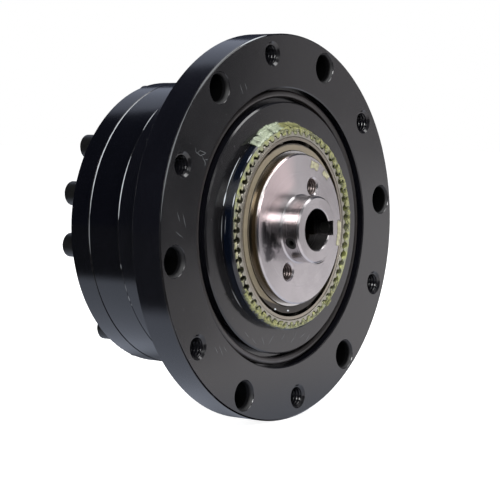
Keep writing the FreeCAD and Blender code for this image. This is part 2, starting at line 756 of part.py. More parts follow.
def crossed_rollers():
    radius = size("roller_diameter") / 2
    length = size("roller_diameter") - 2 * size("roller_clearance")
    chamfer = size("roller_chamfer")
    blank = Part.makeCylinder(radius, length, FreeCAD.Vector(0, 0, -length / 2), AXIS_Z)
    blank = blank.makeChamfer(chamfer, [edge for edge in blank.Edges if edge.Closed])
    total = count("roller_count")
    shapes = []
    for k in range(total):
        roller = blank.copy()
        lean = 45 if k % 2 else -45
        roller.rotate(ORIGIN, FreeCAD.Vector(1, 0, 0), lean)
        roller.translate(FreeCAD.Vector(0, RACE_CENTRE, size("race_circle_radius")))
        shapes.append(turned_about_y(roller, 360 * (k + 0.5) / total))
    return group("crossed_rollers", shapes)


def roller_spacers():
    """Thin discs between the rollers, each hollowed on both sides for its neighbours."""
    total = count("roller_count")
    thickness = size("spacer_thickness")
    disc = Part.makeCylinder(size("roller_diameter") / 2 - 0.2, thickness,
                             FreeCAD.Vector(-thickness / 2, 0, 0), FreeCAD.Vector(1, 0, 0))
    disc.translate(FreeCAD.Vector(0, RACE_CENTRE, size("race_circle_radius")))
    return group("roller_spacers", [turned_about_y(disc, 360 * k / total) for k in range(total)])


# Output

def output_flange():
    body = new_body("output_flange")
    disc_front = "(Size.neck_end_at + 1)"
    disc_end = "(" + BEARING_END + " + 1)"
    outer = "Size.race_circle_radius - Size.race_gap"
    mouth = "(" + RACE_REACH + " - Size.race_gap)"
    apex = "Size.race_circle_radius - " + RACE_REACH
    revolve(body, "blank", [
        ("0", "Size.boss_end_at"),
        ("Size.output_spigot_radius", "Size.boss_end_at"),
        ("Size.output_spigot_radius", disc_front),
        (outer, disc_front),
        (outer, RACE_AT + " - " + mouth),
        (apex, RACE_AT),
        (outer, RACE_AT + " + " + mouth),
        (outer, disc_end),
        ("Size.output_hub_radius", disc_end),
        ("Size.output_hub_radius", "Size.output_face_at - Size.output_hub_chamfer"),
        ("Size.output_hub_radius - Size.output_hub_chamfer", "Size.output_face_at"),
        ("Size.pilot_radius + Size.edge_break", "Size.output_face_at"),
        ("Size.pilot_radius", "Size.output_face_at - Size.edge_break"),
        ("Size.pilot_radius", "Size.output_face_at - Size.pilot_depth"),
        ("0", "Size.output_face_at - Size.pilot_depth")])
    face = "Size.output_face_at"
    floor = face + " - Size.output_screw_depth"
    wide = "Size.output_screw_radius + Size.output_screw_chamfer"
    hole = bored_hole(body, "output_hole", "Size.output_screw_circle", [
        (face + " + 1", "0"), (face + " + 1", wide), (face, wide),
        (face + " - Size.output_screw_chamfer", "Size.output_screw_radius"), (floor, "Size.output_screw_radius"),
        (floor + " - 0.5 * Size.output_screw_radius", "0")])
    around(body, hole, "Size.output_screw_count", "output_holes")
    boss_holes(body, "Size.boss_screw_radius + Size.thread_clearance",
               "Size.boss_end_at - 1", "Size.boss_end_at + Size.boss_screw_thread + 1",
               "Size.boss_end_at + (Size.boss_dowel_length - Size.boss_thickness) + 0.5")
    return body


def boss_holes(body, radius, start, end, dowel_end):
    """Screw holes and two pin holes that the flexspline's boss shares with its neighbours."""
    half_step = "180 deg / Size.boss_screw_count"
    across, up = on_circle("Size.boss_screw_circle", half_step)
    sketch = circles(body, "boss_hole", [(across, up, radius)])
    sketch.setExpression("AttachmentOffset.Base.z", "-(" + end + ")")
    cut = body.newObject("PartDesign::Pocket", body.Name + "_boss_hole")
    cut.Profile = (sketch, [""])
    cut.Type = "Length"
    cut.Reversed = True
    cut.setExpression("Length", "(" + end + ") - (" + start + ")")
    doc.recompute()
    around(body, cut, "Size.boss_screw_count", "boss_holes")
    pin = "Size.boss_dowel_radius + Size.seat_clearance"
    dowel_holes(body, "pin_hole", "Size.boss_screw_circle", pin, start, dowel_end, "90 deg")


def clamp_ring():
    body = new_body("clamp_ring")
    outer = "(Size.boss_radius - Size.clamp_margin)"
    front = "(" + CLAMP_FRONT + ")"
    back = "(" + BOSS_FRONT + " - Size.face_clearance)"
    revolve(body, "blank", [
        ("Size.boss_bore_radius", front),
        (outer + " - Size.edge_break", front),
        (outer, front + " + Size.edge_break"),
        (outer, back),
        ("Size.boss_bore_radius", back)])
    boss_holes(body, "Size.boss_screw_radius + Size.screw_clearance", CLAMP_FRONT + " - 1", BOSS_FRONT + " + 1",
               BOSS_FRONT + " + 1")
    return body


def flexspline_screws():
    tip = "Size.boss_end_at + Size.boss_screw_thread"
    screw = cap_screw("flexspline_screw_model", "Size.boss_screw_radius", "Size.boss_screw_head_radius",
                      "Size.boss_screw_head_height", "(" + CLAMP_FRONT + ")", tip, -1)
    total = count("boss_screw_count")
    shapes = []
    for k in range(total):
        shape = screw.Shape.copy()
        shape.translate(FreeCAD.Vector(size("boss_screw_circle"), 0, 0))
        shapes.append(turned_about_y(shape, -360 * (k + 0.5) / total))
    return group("flexspline_screws", shapes)


def spot_about_y(radius, angle, along):
    """A place at that angle from +X towards +Z, seen from the front."""
    way = math.radians(angle)
    return FreeCAD.Vector(radius * math.cos(way), along, radius * math.sin(way))


def deformed(radius, angle, side=0.0):
    """Where a point of the flexspline's toothed rim goes when the wave generator makes it oval.

    The rim bends without stretching: w is how far it moves out, v how far it slides round, and each tooth
    tips with the rim. angle is from +X towards +Z before bending, side is a distance across the tooth.
    """
    height = size("wave_height")
    pitch = size("flex_pitch_radius")
    from_top = math.radians(angle - 90 + size("wave_angle"))
    w = height * math.cos(2 * from_top)
    v = -0.5 * height * math.sin(2 * from_top)
    tip = (v + 2 * height * math.sin(2 * from_top)) / pitch
    way = math.radians(angle)
    out = FreeCAD.Vector(math.cos(way), 0, math.sin(way))
    round_way = FreeCAD.Vector(-math.sin(way), 0, math.cos(way))
    base = out * (pitch + w) + round_way * v
    out_now = out * math.cos(tip) + round_way * math.sin(tip)
    round_now = round_way * math.cos(tip) - out * math.sin(tip)
    return base + out_now * (radius - pitch) + round_now * side


def tooth_outline():
    """The rim's toothed outline at the front, as one closed wire."""
    teeth = count("flex_teeth")
    lean = math.tan(math.radians(size("flank_angle")))
    half = size("flex_tooth_width") / 2
    half_root = half + (size("flex_pitch_radius") - size("flex_root_radius")) * lean
    half_tip = half - (size("flex_tip_radius") - size("flex_pitch_radius")) * lean
    points = []
    for k in range(teeth):
        angle = 90 - size("wave_angle") + 360 * k / teeth
        points.append(deformed(size("flex_root_radius"), angle, -half_root))
        points.append(deformed(size("flex_tip_radius"), angle, -half_tip))
        points.append(deformed(size("flex_tip_radius"), angle, half_tip))
        points.append(deformed(size("flex_root_radius"), angle, half_root))
    return Part.makePolygon(points + [points[0]])


def oval_wire(radius, along, oval=None):
    """An oval, or with oval = 0 a circle, about the gear's axis."""
    oval = OVAL_FACTOR if oval is None else oval
    if oval == 0:
        circle = Part.Circle(FreeCAD.Vector(0, along, 0), AXIS_Y, radius)
        edge = circle.toShape()
        edge.rotate(FreeCAD.Vector(0, along, 0), AXIS_Y, size("wave_angle") - 90)
        return Part.Wire([edge])
    centre = FreeCAD.Vector(0, along, 0)
    long_end = centre + AXIS_Z * radius * (1 + oval)
    short_end = centre + FreeCAD.Vector(1, 0, 0) * radius * (1 - oval)
    edge = Part.Ellipse(long_end, short_end, centre).toShape()
    edge.rotate(centre, AXIS_Y, size("wave_angle"))
    return Part.Wire([edge])


def flexspline():
    front = size("rim_front_at")
    rim_end = size("flex_rim_end_at")
    round_at = size("flex_round_at")
    back = size("boss_end_at")
    wall = size("flex_wall_radius")
    bore = size("wave_outer_ring_radius") + size("seat_clearance")
    inner = wall - size("flex_wall_thickness")
    diaphragm = size("diaphragm_thickness")
    boss = size("boss_radius")
    bend = size("flex_back_radius")
    boss_front = back - size("boss_thickness")
    diaphragm_back = back - size("boss_thickness") / 2
    # the toothed rim, then the wall that goes from oval to round
    rim = Part.Face([tooth_outline(), oval_wire(bore, 0)]).extrude(AXIS_Y * (rim_end - front))
    rim.translate(AXIS_Y * front)
    skin = Part.makeLoft([oval_wire(wall, rim_end), oval_wire(wall, round_at, 0)], True, True)
    room = Part.makeLoft([oval_wire(bore, rim_end), oval_wire(inner, round_at, 0)], True, True)
    # the turned rear end, one closed section with rounded corners
    corner = math.sqrt(0.5)
    outer_mid = FreeCAD.Vector(wall - bend + bend * corner, diaphragm_back - bend + bend * corner, 0)
    small = bend - size("flex_wall_thickness")
    mid_x = inner - small + small * corner
    mid_y = diaphragm_back - diaphragm - small + small * corner
    p = [FreeCAD.Vector(wall, round_at, 0), FreeCAD.Vector(wall, diaphragm_back - bend, 0),
         FreeCAD.Vector(wall - bend, diaphragm_back, 0), FreeCAD.Vector(boss, diaphragm_back, 0),
         FreeCAD.Vector(boss, back, 0), FreeCAD.Vector(size("boss_bore_radius"), back, 0),
         FreeCAD.Vector(size("boss_bore_radius"), boss_front, 0), FreeCAD.Vector(boss, boss_front, 0),
         FreeCAD.Vector(boss, diaphragm_back - diaphragm, 0),
         FreeCAD.Vector(inner - small, diaphragm_back - diaphragm, 0),
         FreeCAD.Vector(inner, diaphragm_back - diaphragm - small, 0), FreeCAD.Vector(inner, round_at, 0)]
    edges = [Part.LineSegment(p[0], p[1]).toShape(), Part.Arc(p[1], outer_mid, p[2]).toShape()]
    edges += [Part.LineSegment(p[k], p[k + 1]).toShape() for k in range(2, 9)]
    edges.append(Part.Arc(p[9], FreeCAD.Vector(mid_x, mid_y, 0), p[10]).toShape())
    edges += [Part.LineSegment(p[10], p[11]).toShape(), Part.LineSegment(p[11], p[0]).toShape()]
    rear = Part.Face(Part.Wire(edges)).revolve(ORIGIN, AXIS_Y, 360)
    rear = turned_about_y(rear, size("wave_angle"))
    # holes of the boss
    tools = []
    for k in range(count("boss_screw_count")):
        angle = 360 * (k + 0.5) / count("boss_screw_count")
        start = spot_about_y(size("boss_screw_circle"), angle, boss_front - 1)
        radius = size("boss_screw_radius") + size("screw_clearance")
        tools.append(Part.makeCylinder(radius, size("boss_thickness") + 2, start, AXIS_Y))
    for angle in (90, 270):
        start = spot_about_y(size("boss_screw_circle"), angle, boss_front - 1)
        radius = size("boss_dowel_radius") + size("seat_clearance")
        tools.append(Part.makeCylinder(radius, size("boss_thickness") + 2, start, AXIS_Y))
    shape = rim.fuse([skin.cut(room), rear.cut(tools)])
    piece = doc.addObject("Part::Feature", "flexspline")
    piece.Label = "flexspline"
    piece.Shape = shape.removeSplitter()
    return piece


# Wave generator

def oval_pad(body, name, radius, start, length):
    """A disc of the wave generator's oval, long across Z."""
    sketch = new_sketch(body, name + "_oval", "XZ_Plane")
    sketch.setExpression("AttachmentOffset.Base.z", "-(" + start + ")")
    sketch.addGeometry(Part.Ellipse(FreeCAD.Vector(0, 31, 0), FreeCAD.Vector(29, 0, 0), ORIGIN), False)
    sketch.exposeInternalGeometry(0)
    sketch.addConstraint(Sketcher.Constraint("Coincident", 0, 3, -1, 1))
    sketch.addConstraint(Sketcher.Constraint("Vertical", 1))
    for line, label, text in ((1, "long_axis", "2 * " + radius + " * (1 + " + OVAL + ")"),
                              (2, "short_axis", "2 * " + radius + " * (1 - " + OVAL + ")")):
        number = sketch.addConstraint(Sketcher.Constraint("Distance", line, 62 if line == 1 else 58))
        sketch.renameConstraint(number, label)
        sketch.setExpression("Constraints." + label, text)
    pad = body.newObject("PartDesign::Pad", body.Name + "_" + name)
    pad.Profile = (sketch, [""])
    pad.Type = "Length"
    pad.Reversed = True
    pad.setExpression("Length", length)
    doc.recompute()
    return pad


def wave_plug():
    body = new_body("wave_plug")
    lip = oval_pad(body, "lip", "Size.plug_lip_radius", "Size.plug_face_at",
                   "Size.wave_bearing_at - Size.plug_face_at")
    front = size("plug_face_at")
    rim = [name for name, edge in ((("Edge%d" % (n + 1)), e) for n, e in enumerate(lip.Shape.Edges))
           if abs(edge.BoundBox.YMax - front) < 0.01 and abs(edge.BoundBox.YMin - front) < 0.01]
    bevel(body, "lip_edge", "Chamfer", "Size.plug_lip_chamfer", rim, lip)
    oval_pad(body, "seat", "Size.plug_seat_radius", "Size.wave_bearing_at - 1", "Size.wave_bearing_width + 1")
    # hub, with its front chamfer
    revolve(body, "hub", [
        ("0", "Size.hub_front_at"),
        ("Size.hub_radius - Size.hub_chamfer", "Size.hub_front_at"),
        ("Size.hub_radius", "Size.hub_front_at + Size.hub_chamfer"),
        ("Size.hub_radius", "Size.plug_face_at - Size.hub_root_fillet"),
        ("Size.hub_radius + Size.hub_root_fillet", "Size.plug_face_at"),
        ("Size.hub_radius + Size.hub_root_fillet", "Size.plug_face_at + 1"),
        ("0", "Size.plug_face_at + 1")])
    end = "(" + WAVE_BEARING_END + ")"
    turned_cut(body, "bore", [
        ("0", "Size.hub_front_at - 1"),
        ("Size.bore_radius + Size.bore_chamfer", "Size.hub_front_at - 1"),
        ("Size.bore_radius + Size.bore_chamfer", "Size.hub_front_at"),
        ("Size.bore_radius", "Size.hub_front_at + Size.bore_chamfer"),
        ("Size.bore_radius", end + " - Size.bore_chamfer"),
        ("Size.bore_radius + Size.bore_chamfer", end),
        ("Size.bore_radius + Size.bore_chamfer", end + " + 1"),
        ("0", end + " + 1")])
    key = outline(body, "keyway", [
        ("0", "-Size.key_width / 2"), ("Size.bore_radius + Size.key_depth", "-Size.key_width / 2"),
        ("Size.bore_radius + Size.key_depth", "Size.key_width / 2"), ("0", "Size.key_width / 2")], "XZ_Plane")
    through_cut(body, "keyway_cut", key)
    # two tapped holes for a puller, through the plug
    spot = on_circle("Size.puller_circle", "Size.puller_angle * 1 deg")
    far = on_circle("Size.puller_circle", "Size.puller_angle * 1 deg + 180 deg")
    holes = circles(body, "puller_holes", [(spot[0], spot[1], "Size.puller_radius"),
                                           (far[0], far[1], "Size.puller_radius")])
    through_cut(body, "puller_cut", holes)
    mouths = [name for name, edge in ((("Edge%d" % (n + 1)), e) for n, e in enumerate(body.Shape.Edges))
              if edge.Closed and abs(edge.BoundBox.YMax - front) < 0.01 and abs(edge.BoundBox.YMin - front) < 0.01
              and abs(edge.BoundBox.XLength - 2 * size("puller_radius")) < 0.02]
    bevel(body, "puller_mouths", "Chamfer", "Size.puller_chamfer", mouths, body.Tip)
    # tapped holes for the set screws, from the hub's side into the bore
    for name, angle in (("key_set_screw", "0"), ("side_set_screw", "Size.set_screw_angle")):
        sketch = circles(body, name, [("0", "Size.set_screw_at", "Size.set_screw_radius + Size.thread_clearance")],
                         "XY_Plane")
        sketch.AttachmentOffset = FreeCAD.Placement(ORIGIN, FreeCAD.Rotation(AXIS_Y, 90))
        sketch.setExpression("AttachmentOffset.Rotation.Angle", "90 deg - " + angle + " * 1 deg")
        cut = body.newObject("PartDesign::Pocket", body.Name + "_" + name)
        cut.Profile = (sketch, [""])
        cut.Type = "Length"
        cut.Reversed = True
        cut.setExpression("Length", "Size.hub_radius + 1")
        body.Tip = cut
        doc.recompute()
    # tapped holes for the retainer's screws
    hole = bored_hole(body, "retainer_hole", "Size.retainer_screw_circle", [
        (end + " - Size.retainer_screw_depth", "0"),
        (end + " - Size.retainer_screw_depth", "Size.retainer_screw_radius + Size.thread_clearance"),
        (end + " + 1", "Size.retainer_screw_radius + Size.thread_clearance"), (end + " + 1", "0")])
    around(body, hole, "Size.retainer_screw_count", "retainer_holes")
    body.Placement = FreeCAD.Placement(ORIGIN, FreeCAD.Rotation(AXIS_Y, size("wave_angle")))
    body.setExpression("Placement.Rotation.Angle", "Size.wave_angle * 1 deg")
    doc.recompute()
    return body


def hub_set_screws():
    """One screw presses on the key, so it is short; the other reaches to the bore."""
    radius = size("set_screw_radius")
    outer_end = size("hub_radius") - 0.3
    shapes = []
    for inner_end, angle in ((size("bore_radius") + size("key_depth") + 0.1, 0),
                             (size("bore_radius") + 0.2, size("set_screw_angle"))):
        length = outer_end - inner_end
        screw = Part.makeCylinder(radius, length, FreeCAD.Vector(inner_end, 0, 0), FreeCAD.Vector(1, 0, 0))
        screw = screw.makeChamfer(0.1 * radius, [edge for edge in screw.Edges if edge.Closed])
        corners = [FreeCAD.Vector(outer_end, 0.56 * radius * math.cos(math.radians(60 * k)),
                                  0.56 * radius * math.sin(math.radians(60 * k))) for k in range(6)]
        socket = Part.Face(Part.makePolygon(corners + [corners[0]])).extrude(FreeCAD.Vector(-0.6 * length, 0, 0))
        screw = screw.cut(socket)
        screw.translate(AXIS_Y * size("set_screw_at"))
        shapes.append(turned_about_y(screw, size("wave_angle") - angle))
    return group("hub_set_screws", shapes)


def oval_piece(name, shape):
    piece = doc.addObject("Part::Feature", name)
    piece.Label = name
    piece.Shape = shape
    return piece


def turned_section(corners, groove_centre=None, groove_radius=0.0):
    """A turned ring from (radius, place) corners, less a ball groove."""
    points = [FreeCAD.Vector(radius, along, 0) for radius, along in corners]
    ring = Part.Face(Part.makePolygon(points + [points[0]])).revolve(ORIGIN, AXIS_Y, 360)
    if groove_centre:
        torus = Part.makeTorus(groove_centre, groove_radius, FreeCAD.Vector(0, BALLS_CENTRE, 0), AXIS_Y)
        ring = ring.cut(torus)
    return ring


def wave_inner_ring():
    bore = size("plug_seat_radius") + size("seat_clearance")
    outer = size("wave_inner_ring_radius")
    start = size("wave_bearing_at") + size("face_clearance")
    end = size("wave_bearing_at") + size("wave_bearing_width")
    groove = 1.03 * size("ball_radius") + size("ball_clearance")
    centre = size("ball_circle_radius") + 0.03 * size("ball_radius")
    ring = turned_section([(bore, start), (outer, start), (outer, end), (bore, end)], centre, groove)
    return oval_piece("wave_inner_ring", to_oval(ring))


def wave_outer_ring():
    bore = size("wave_outer_bore_radius")
    outer = size("wave_outer_ring_radius")
    start = size("wave_bearing_at")
    end = start + size("wave_bearing_width")
    edge = 0.2
    groove = 1.03 * size("ball_radius") + size("ball_clearance")
    centre = size("ball_circle_radius") - 0.03 * size("ball_radius")
    ring = turned_section([(bore, start), (outer - edge, start), (outer, start + edge), (outer, end - edge),
                           (outer - edge, end), (bore, end)], centre, groove)
    return oval_piece("wave_outer_ring", to_oval(ring))


def ball_spots():
    """The balls' centres on the oval, before it is turned to its rest angle."""
    total = count("ball_count")
    reach = size("ball_circle_radius")
    ways = [2 * math.pi * k / total for k in range(total)]
    return [FreeCAD.Vector(reach * (1 - OVAL_FACTOR) * math.cos(way), BALLS_CENTRE,
                           reach * (1 + OVAL_FACTOR) * math.sin(way)) for way in ways]


def wave_balls():
    balls = [Part.makeSphere(size("ball_radius"), spot) for spot in ball_spots()]
    return group("wave_balls", [turned_about_y(ball, size("wave_angle")) for ball in balls])


def wave_cage():
    inner = size("cage_inner_radius")
    outer = size("cage_outer_radius")
    start = size("cage_front_at")
    end = size("cage_end_at")
    ring = to_oval(turned_section([(inner, start), (outer, start), (outer, end), (inner, end)]))
    # one pocket for each ball, open to the rear: half round in front, straight behind
    pocket = size("ball_radius") + size("cage_pocket_clearance")
    half = 0.85 * pocket
    neck = BALLS_CENTRE + math.sqrt(pocket ** 2 - half ** 2)
    near = inner - 3
    corners = [FreeCAD.Vector(near, neck, -half), FreeCAD.Vector(near, end + 1, -half),
               FreeCAD.Vector(near, end + 1, half), FreeCAD.Vector(near, neck, half)]
    edges = [Part.LineSegment(corners[k], corners[k + 1]).toShape() for k in range(3)]
    edges.append(Part.Arc(corners[3], FreeCAD.Vector(near, BALLS_CENTRE - pocket, 0), corners[0]).toShape())
    tool = Part.Face(Part.Wire(edges)).extrude(FreeCAD.Vector(outer - near + 3, 0, 0))
    tools = []
    for spot in ball_spots():
        tools.append(turned_about_y(tool, size("wave_angle") - math.degrees(math.atan2(spot.z, spot.x))))
    return oval_piece("wave_cage", ring.cut(tools))


def bearing_retainer():
    start = size("wave_bearing_at") + size("wave_bearing_width") + size("face_clearance")
    end = start + size("retainer_thickness")
    inner = size("retainer_bore_radius")
    outer = size("retainer_radius")
    ring = turned_section([(inner, start), (outer, start), (outer, end - 0.3), (outer - 0.3, end), (inner, end)])
    ring = to_oval(ring)
    for k in range(count("retainer_screw_count")):
        angle = 90 - size("wave_angle") + 360 * k / count("retainer_screw_count")
        spot = spot_about_y(size("retainer_screw_circle"), angle, start - 1)
        ring = ring.cut(Part.makeCylinder(size("retainer_screw_radius") + size("screw_clearance"), 5, spot, AXIS_Y))
    return oval_piece("bearing_retainer", ring)


def retainer_screws():
    start = size("wave_bearing_at") + size("wave_bearing_width") + size("face_clearance")
    seat = start + size("retainer_thickness")
    length = size("retainer_thickness") + size("retainer_screw_depth") - 1
    shapes = []
    for k in range(count("retainer_screw_count")):
        angle = 90 - size("wave_angle") + 360 * k / count("retainer_screw_count")
        shank = Part.makeCylinder(size("retainer_screw_radius"), length,
                                  spot_about_y(size("retainer_screw_circle"), angle, seat - length), AXIS_Y)
        head = Part.makeCylinder(size("retainer_screw_head_radius"), size("retainer_screw_head_height"),
                                 spot_about_y(size("retainer_screw_circle"), angle, seat), AXIS_Y)
        shapes.append(shank.fuse(head).removeSplitter())
    return group("retainer_screws", shapes)


pieces = [
    flange_housing(),
    circular_spline(),
    spline_screws(),
    pins("spline_dowels", size("spline_screw_circle"), size("spline_dowel_radius"), size("spline_dowel_length"),
         size("spline_end_at") + size("ledge_thickness"), 180 / size("spline_screw_count")),
    ring_of_cord("face_o_ring", "Size.groove_outer_radius - Size.face_cord_radius - 0.9", "Size.face_cord_radius",
                 "Size.groove_depth - Size.face_cord_radius - Size.face_clearance"),
    bearing_outer_ring(),
    roller_plug(),
    roller_plug_pin(),
    ring_of_cord("housing_o_ring", "Size.casing_ring_radius", "Size.casing_cord_radius - 0.16",
                 "Size.neck_end_at - Size.casing_cord_radius + 0.15"),
    rear_cover(),
    ring_of_cord("cover_o_ring", "Size.casing_ring_radius", "Size.casing_cord_radius - 0.16",
                 BEARING_END + " + Size.casing_cord_radius - 0.14"),
    housing_screws(),
    output_seal(),
    crossed_rollers(),
    roller_spacers(),
    output_flange(),
    flexspline(),
    clamp_ring(),
    flexspline_screws(),
    pins("flexspline_dowels", size("boss_screw_circle"), size("boss_dowel_radius"), size("boss_dowel_length"),
         size("boss_end_at") - size("boss_thickness") + size("boss_dowel_length"), 90),
    wave_plug(),
    hub_set_screws(),
    wave_inner_ring(),
    wave_balls(),
    wave_cage(),
    wave_outer_ring(),
    bearing_retainer(),
    retainer_screws(),
]

doc.recompute()
for item in doc.Objects:
    if "Invalid" in item.State or "Error" in item.State:
        raise RuntimeError("%s is in state %s" % (item.Name, item.State))
for piece in pieces:
    if piece.Shape.isNull() or not piece.Shape.isValid() or not piece.Shape.Solids:
        raise RuntimeError("%s has no valid solid" % piece.Label)

os.makedirs("parts", exist_ok=True)
for piece in pieces:
    piece.Shape.exportStep("parts/%s.step" % piece.Label)
    print("%-20s solids %3d  volume %10.1f mm3" % (piece.Label, len(piece.Shape.Solids), piece.Shape.Volume))
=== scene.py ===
"""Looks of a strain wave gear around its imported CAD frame.

Row frame: the gear's axis is Y, the front (input) face looks to -Y, +Z is up at rest. Angles run about Y,
from +X towards +Z. Lengths are in metres, unless a line says mm.
The stage (camera, lights, floor) is rolled about Y, because the part lies a little turned in the picture.
"""

import math

import bmesh
import bpy
from mathutils import Matrix, Vector, noise


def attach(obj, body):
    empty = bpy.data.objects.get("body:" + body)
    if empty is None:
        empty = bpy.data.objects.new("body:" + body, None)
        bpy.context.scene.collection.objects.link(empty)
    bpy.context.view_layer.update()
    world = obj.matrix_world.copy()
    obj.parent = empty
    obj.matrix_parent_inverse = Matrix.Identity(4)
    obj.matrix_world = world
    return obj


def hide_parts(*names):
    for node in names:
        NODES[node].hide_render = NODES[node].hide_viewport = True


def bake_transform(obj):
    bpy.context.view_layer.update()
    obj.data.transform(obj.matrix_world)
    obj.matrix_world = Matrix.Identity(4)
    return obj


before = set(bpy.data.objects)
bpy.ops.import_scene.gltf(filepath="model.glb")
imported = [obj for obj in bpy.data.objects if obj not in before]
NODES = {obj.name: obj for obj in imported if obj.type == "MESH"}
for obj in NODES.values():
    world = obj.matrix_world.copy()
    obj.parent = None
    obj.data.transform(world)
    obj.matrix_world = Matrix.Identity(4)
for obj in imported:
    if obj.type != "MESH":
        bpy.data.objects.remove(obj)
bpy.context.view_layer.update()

MM = 0.001

# Camera: focal length on a 36 mm sensor, the turns that take the part to it, and the part's place before it
LENS = 126.5
ROLL = math.radians(7.184)
AZIMUTH = math.radians(52.595)
ELEVATION = math.radians(4.592)
CAMERA_PLACE = Vector((-0.014672, -0.009051, 0.726886))

# Stage: the floor's height and width, the soft light all round, and how bright the room looks in reflections
FLOOR = -0.0803
FLOOR_SIDE = 8.0
ROOM_LIGHT = (0.28, 0.28, 0.29)
ROOM_MIRRORED = (0.03, 0.035, 0.055)

# Flexspline and wave generator, as in the solids (mm and degrees)
TEETH = 60
PITCH_RADIUS = 38.1
TIP_RADIUS = 38.9
ROOT_RADIUS = 37.45
TOOTH_WIDTH = 1.8
FLANK_ANGLE = 30.0
WALL_RADIUS = 37.2
BORE_RADIUS = 36.77
WAVE_HEIGHT = 1.15
WAVE_ANGLE = 6.0
RIM_FRONT = -4.2
RIM_END = 10.0
ROUND_AT = 27.0
CUP_WALL = 0.75
CUP_BEND = 3.5
DISC_BACK = 31.75
DISC_THICKNESS = 1.4
BOSS_RADIUS = 26.0
BOSS_BORE = 11.0
BOSS_FRONT = 29.5
BOSS_END = 34.0

# Circular spline, as in the solids: its spaces, and the steps of its front (mm and degrees)
SPACES = 62
SPACE_START = 84.0
COLLAR_EDGE = 41.3
CHAMFER_RADIUS = 42.0
CHAMFER_FRONT = -3.5
COVE_RADIUS = 43.2
COVE_RISE = 3.7
INNER_FACE = 0.4
INNER_FACE_RADIUS = 57.0

# Holes of the flange and of the plug, as in the solids (mm and degrees)
HOLE_CIRCLE = 72.0
HOLES = 6
TAPPED_START = 30.0
PULLER_CIRCLE = 19.1
PULLER_HOLES = 2
PULLER_START = 62.5
PLUG_FACE = -7.7


# Stage

STAGE_TURN = Matrix.Rotation(ROLL, 4, "Y")


def on_scene(made):
    bpy.context.scene.collection.objects.link(made)
    return made


def add_camera():
    data = bpy.data.cameras.new("camera")
    data.lens = LENS
    data.sensor_width = 36.0
    data.clip_start = 0.05
    data.clip_end = 20.0
    camera = on_scene(bpy.data.objects.new("camera", data))
    turns = Matrix.Rotation(-AZIMUTH, 4, "Z") @ Matrix.Rotation(math.pi / 2 - ELEVATION, 4, "X")
    camera.matrix_world = STAGE_TURN @ turns @ Matrix.Translation(CAMERA_PLACE)
    bpy.context.scene.camera = camera


def add_lamp(name, place, target, size, power):
    """A soft box at a stage place that looks at another."""
    data = bpy.data.lights.new(name, "AREA")
    data.shape = "RECTANGLE"
    data.size, data.size_y = size
    data.energy = power
    lamp = on_scene(bpy.data.objects.new(name, data))
    start = STAGE_TURN @ Vector(place)
    end = STAGE_TURN @ Vector(target)
    lamp.location = start
    lamp.rotation_euler = (end - start).to_track_quat("-Z", "Y").to_euler()


def rectangle(name, size, material):
    """A flat card that looks along its own Z."""
    x, y = size[0] / 2, size[1] / 2
    mesh = bpy.data.meshes.new(name)
    mesh.from_pydata([(-x, -y, 0), (x, -y, 0), (x, y, 0), (-x, y, 0)], [], [(0, 1, 2, 3)])
    mesh.materials.append(material)
    return on_scene(bpy.data.objects.new(name, mesh))


def add_card(name, place, facing, size, material):
    """A card at a stage place that is seen only in reflections."""
    card = rectangle(name, size, material)
    turn = (Vector(facing) - Vector(place)).to_track_quat("Z", "Y").to_matrix().to_4x4()
    card.matrix_world = STAGE_TURN @ Matrix.Translation(place) @ turn
    card.visible_camera = False
    card.visible_diffuse = False
    card.visible_transmission = False
    card.visible_shadow = False


# Nodes of materials

def shade(tint, factor):
    """A tint made darker or paler."""
    return tuple(factor * part for part in tint)


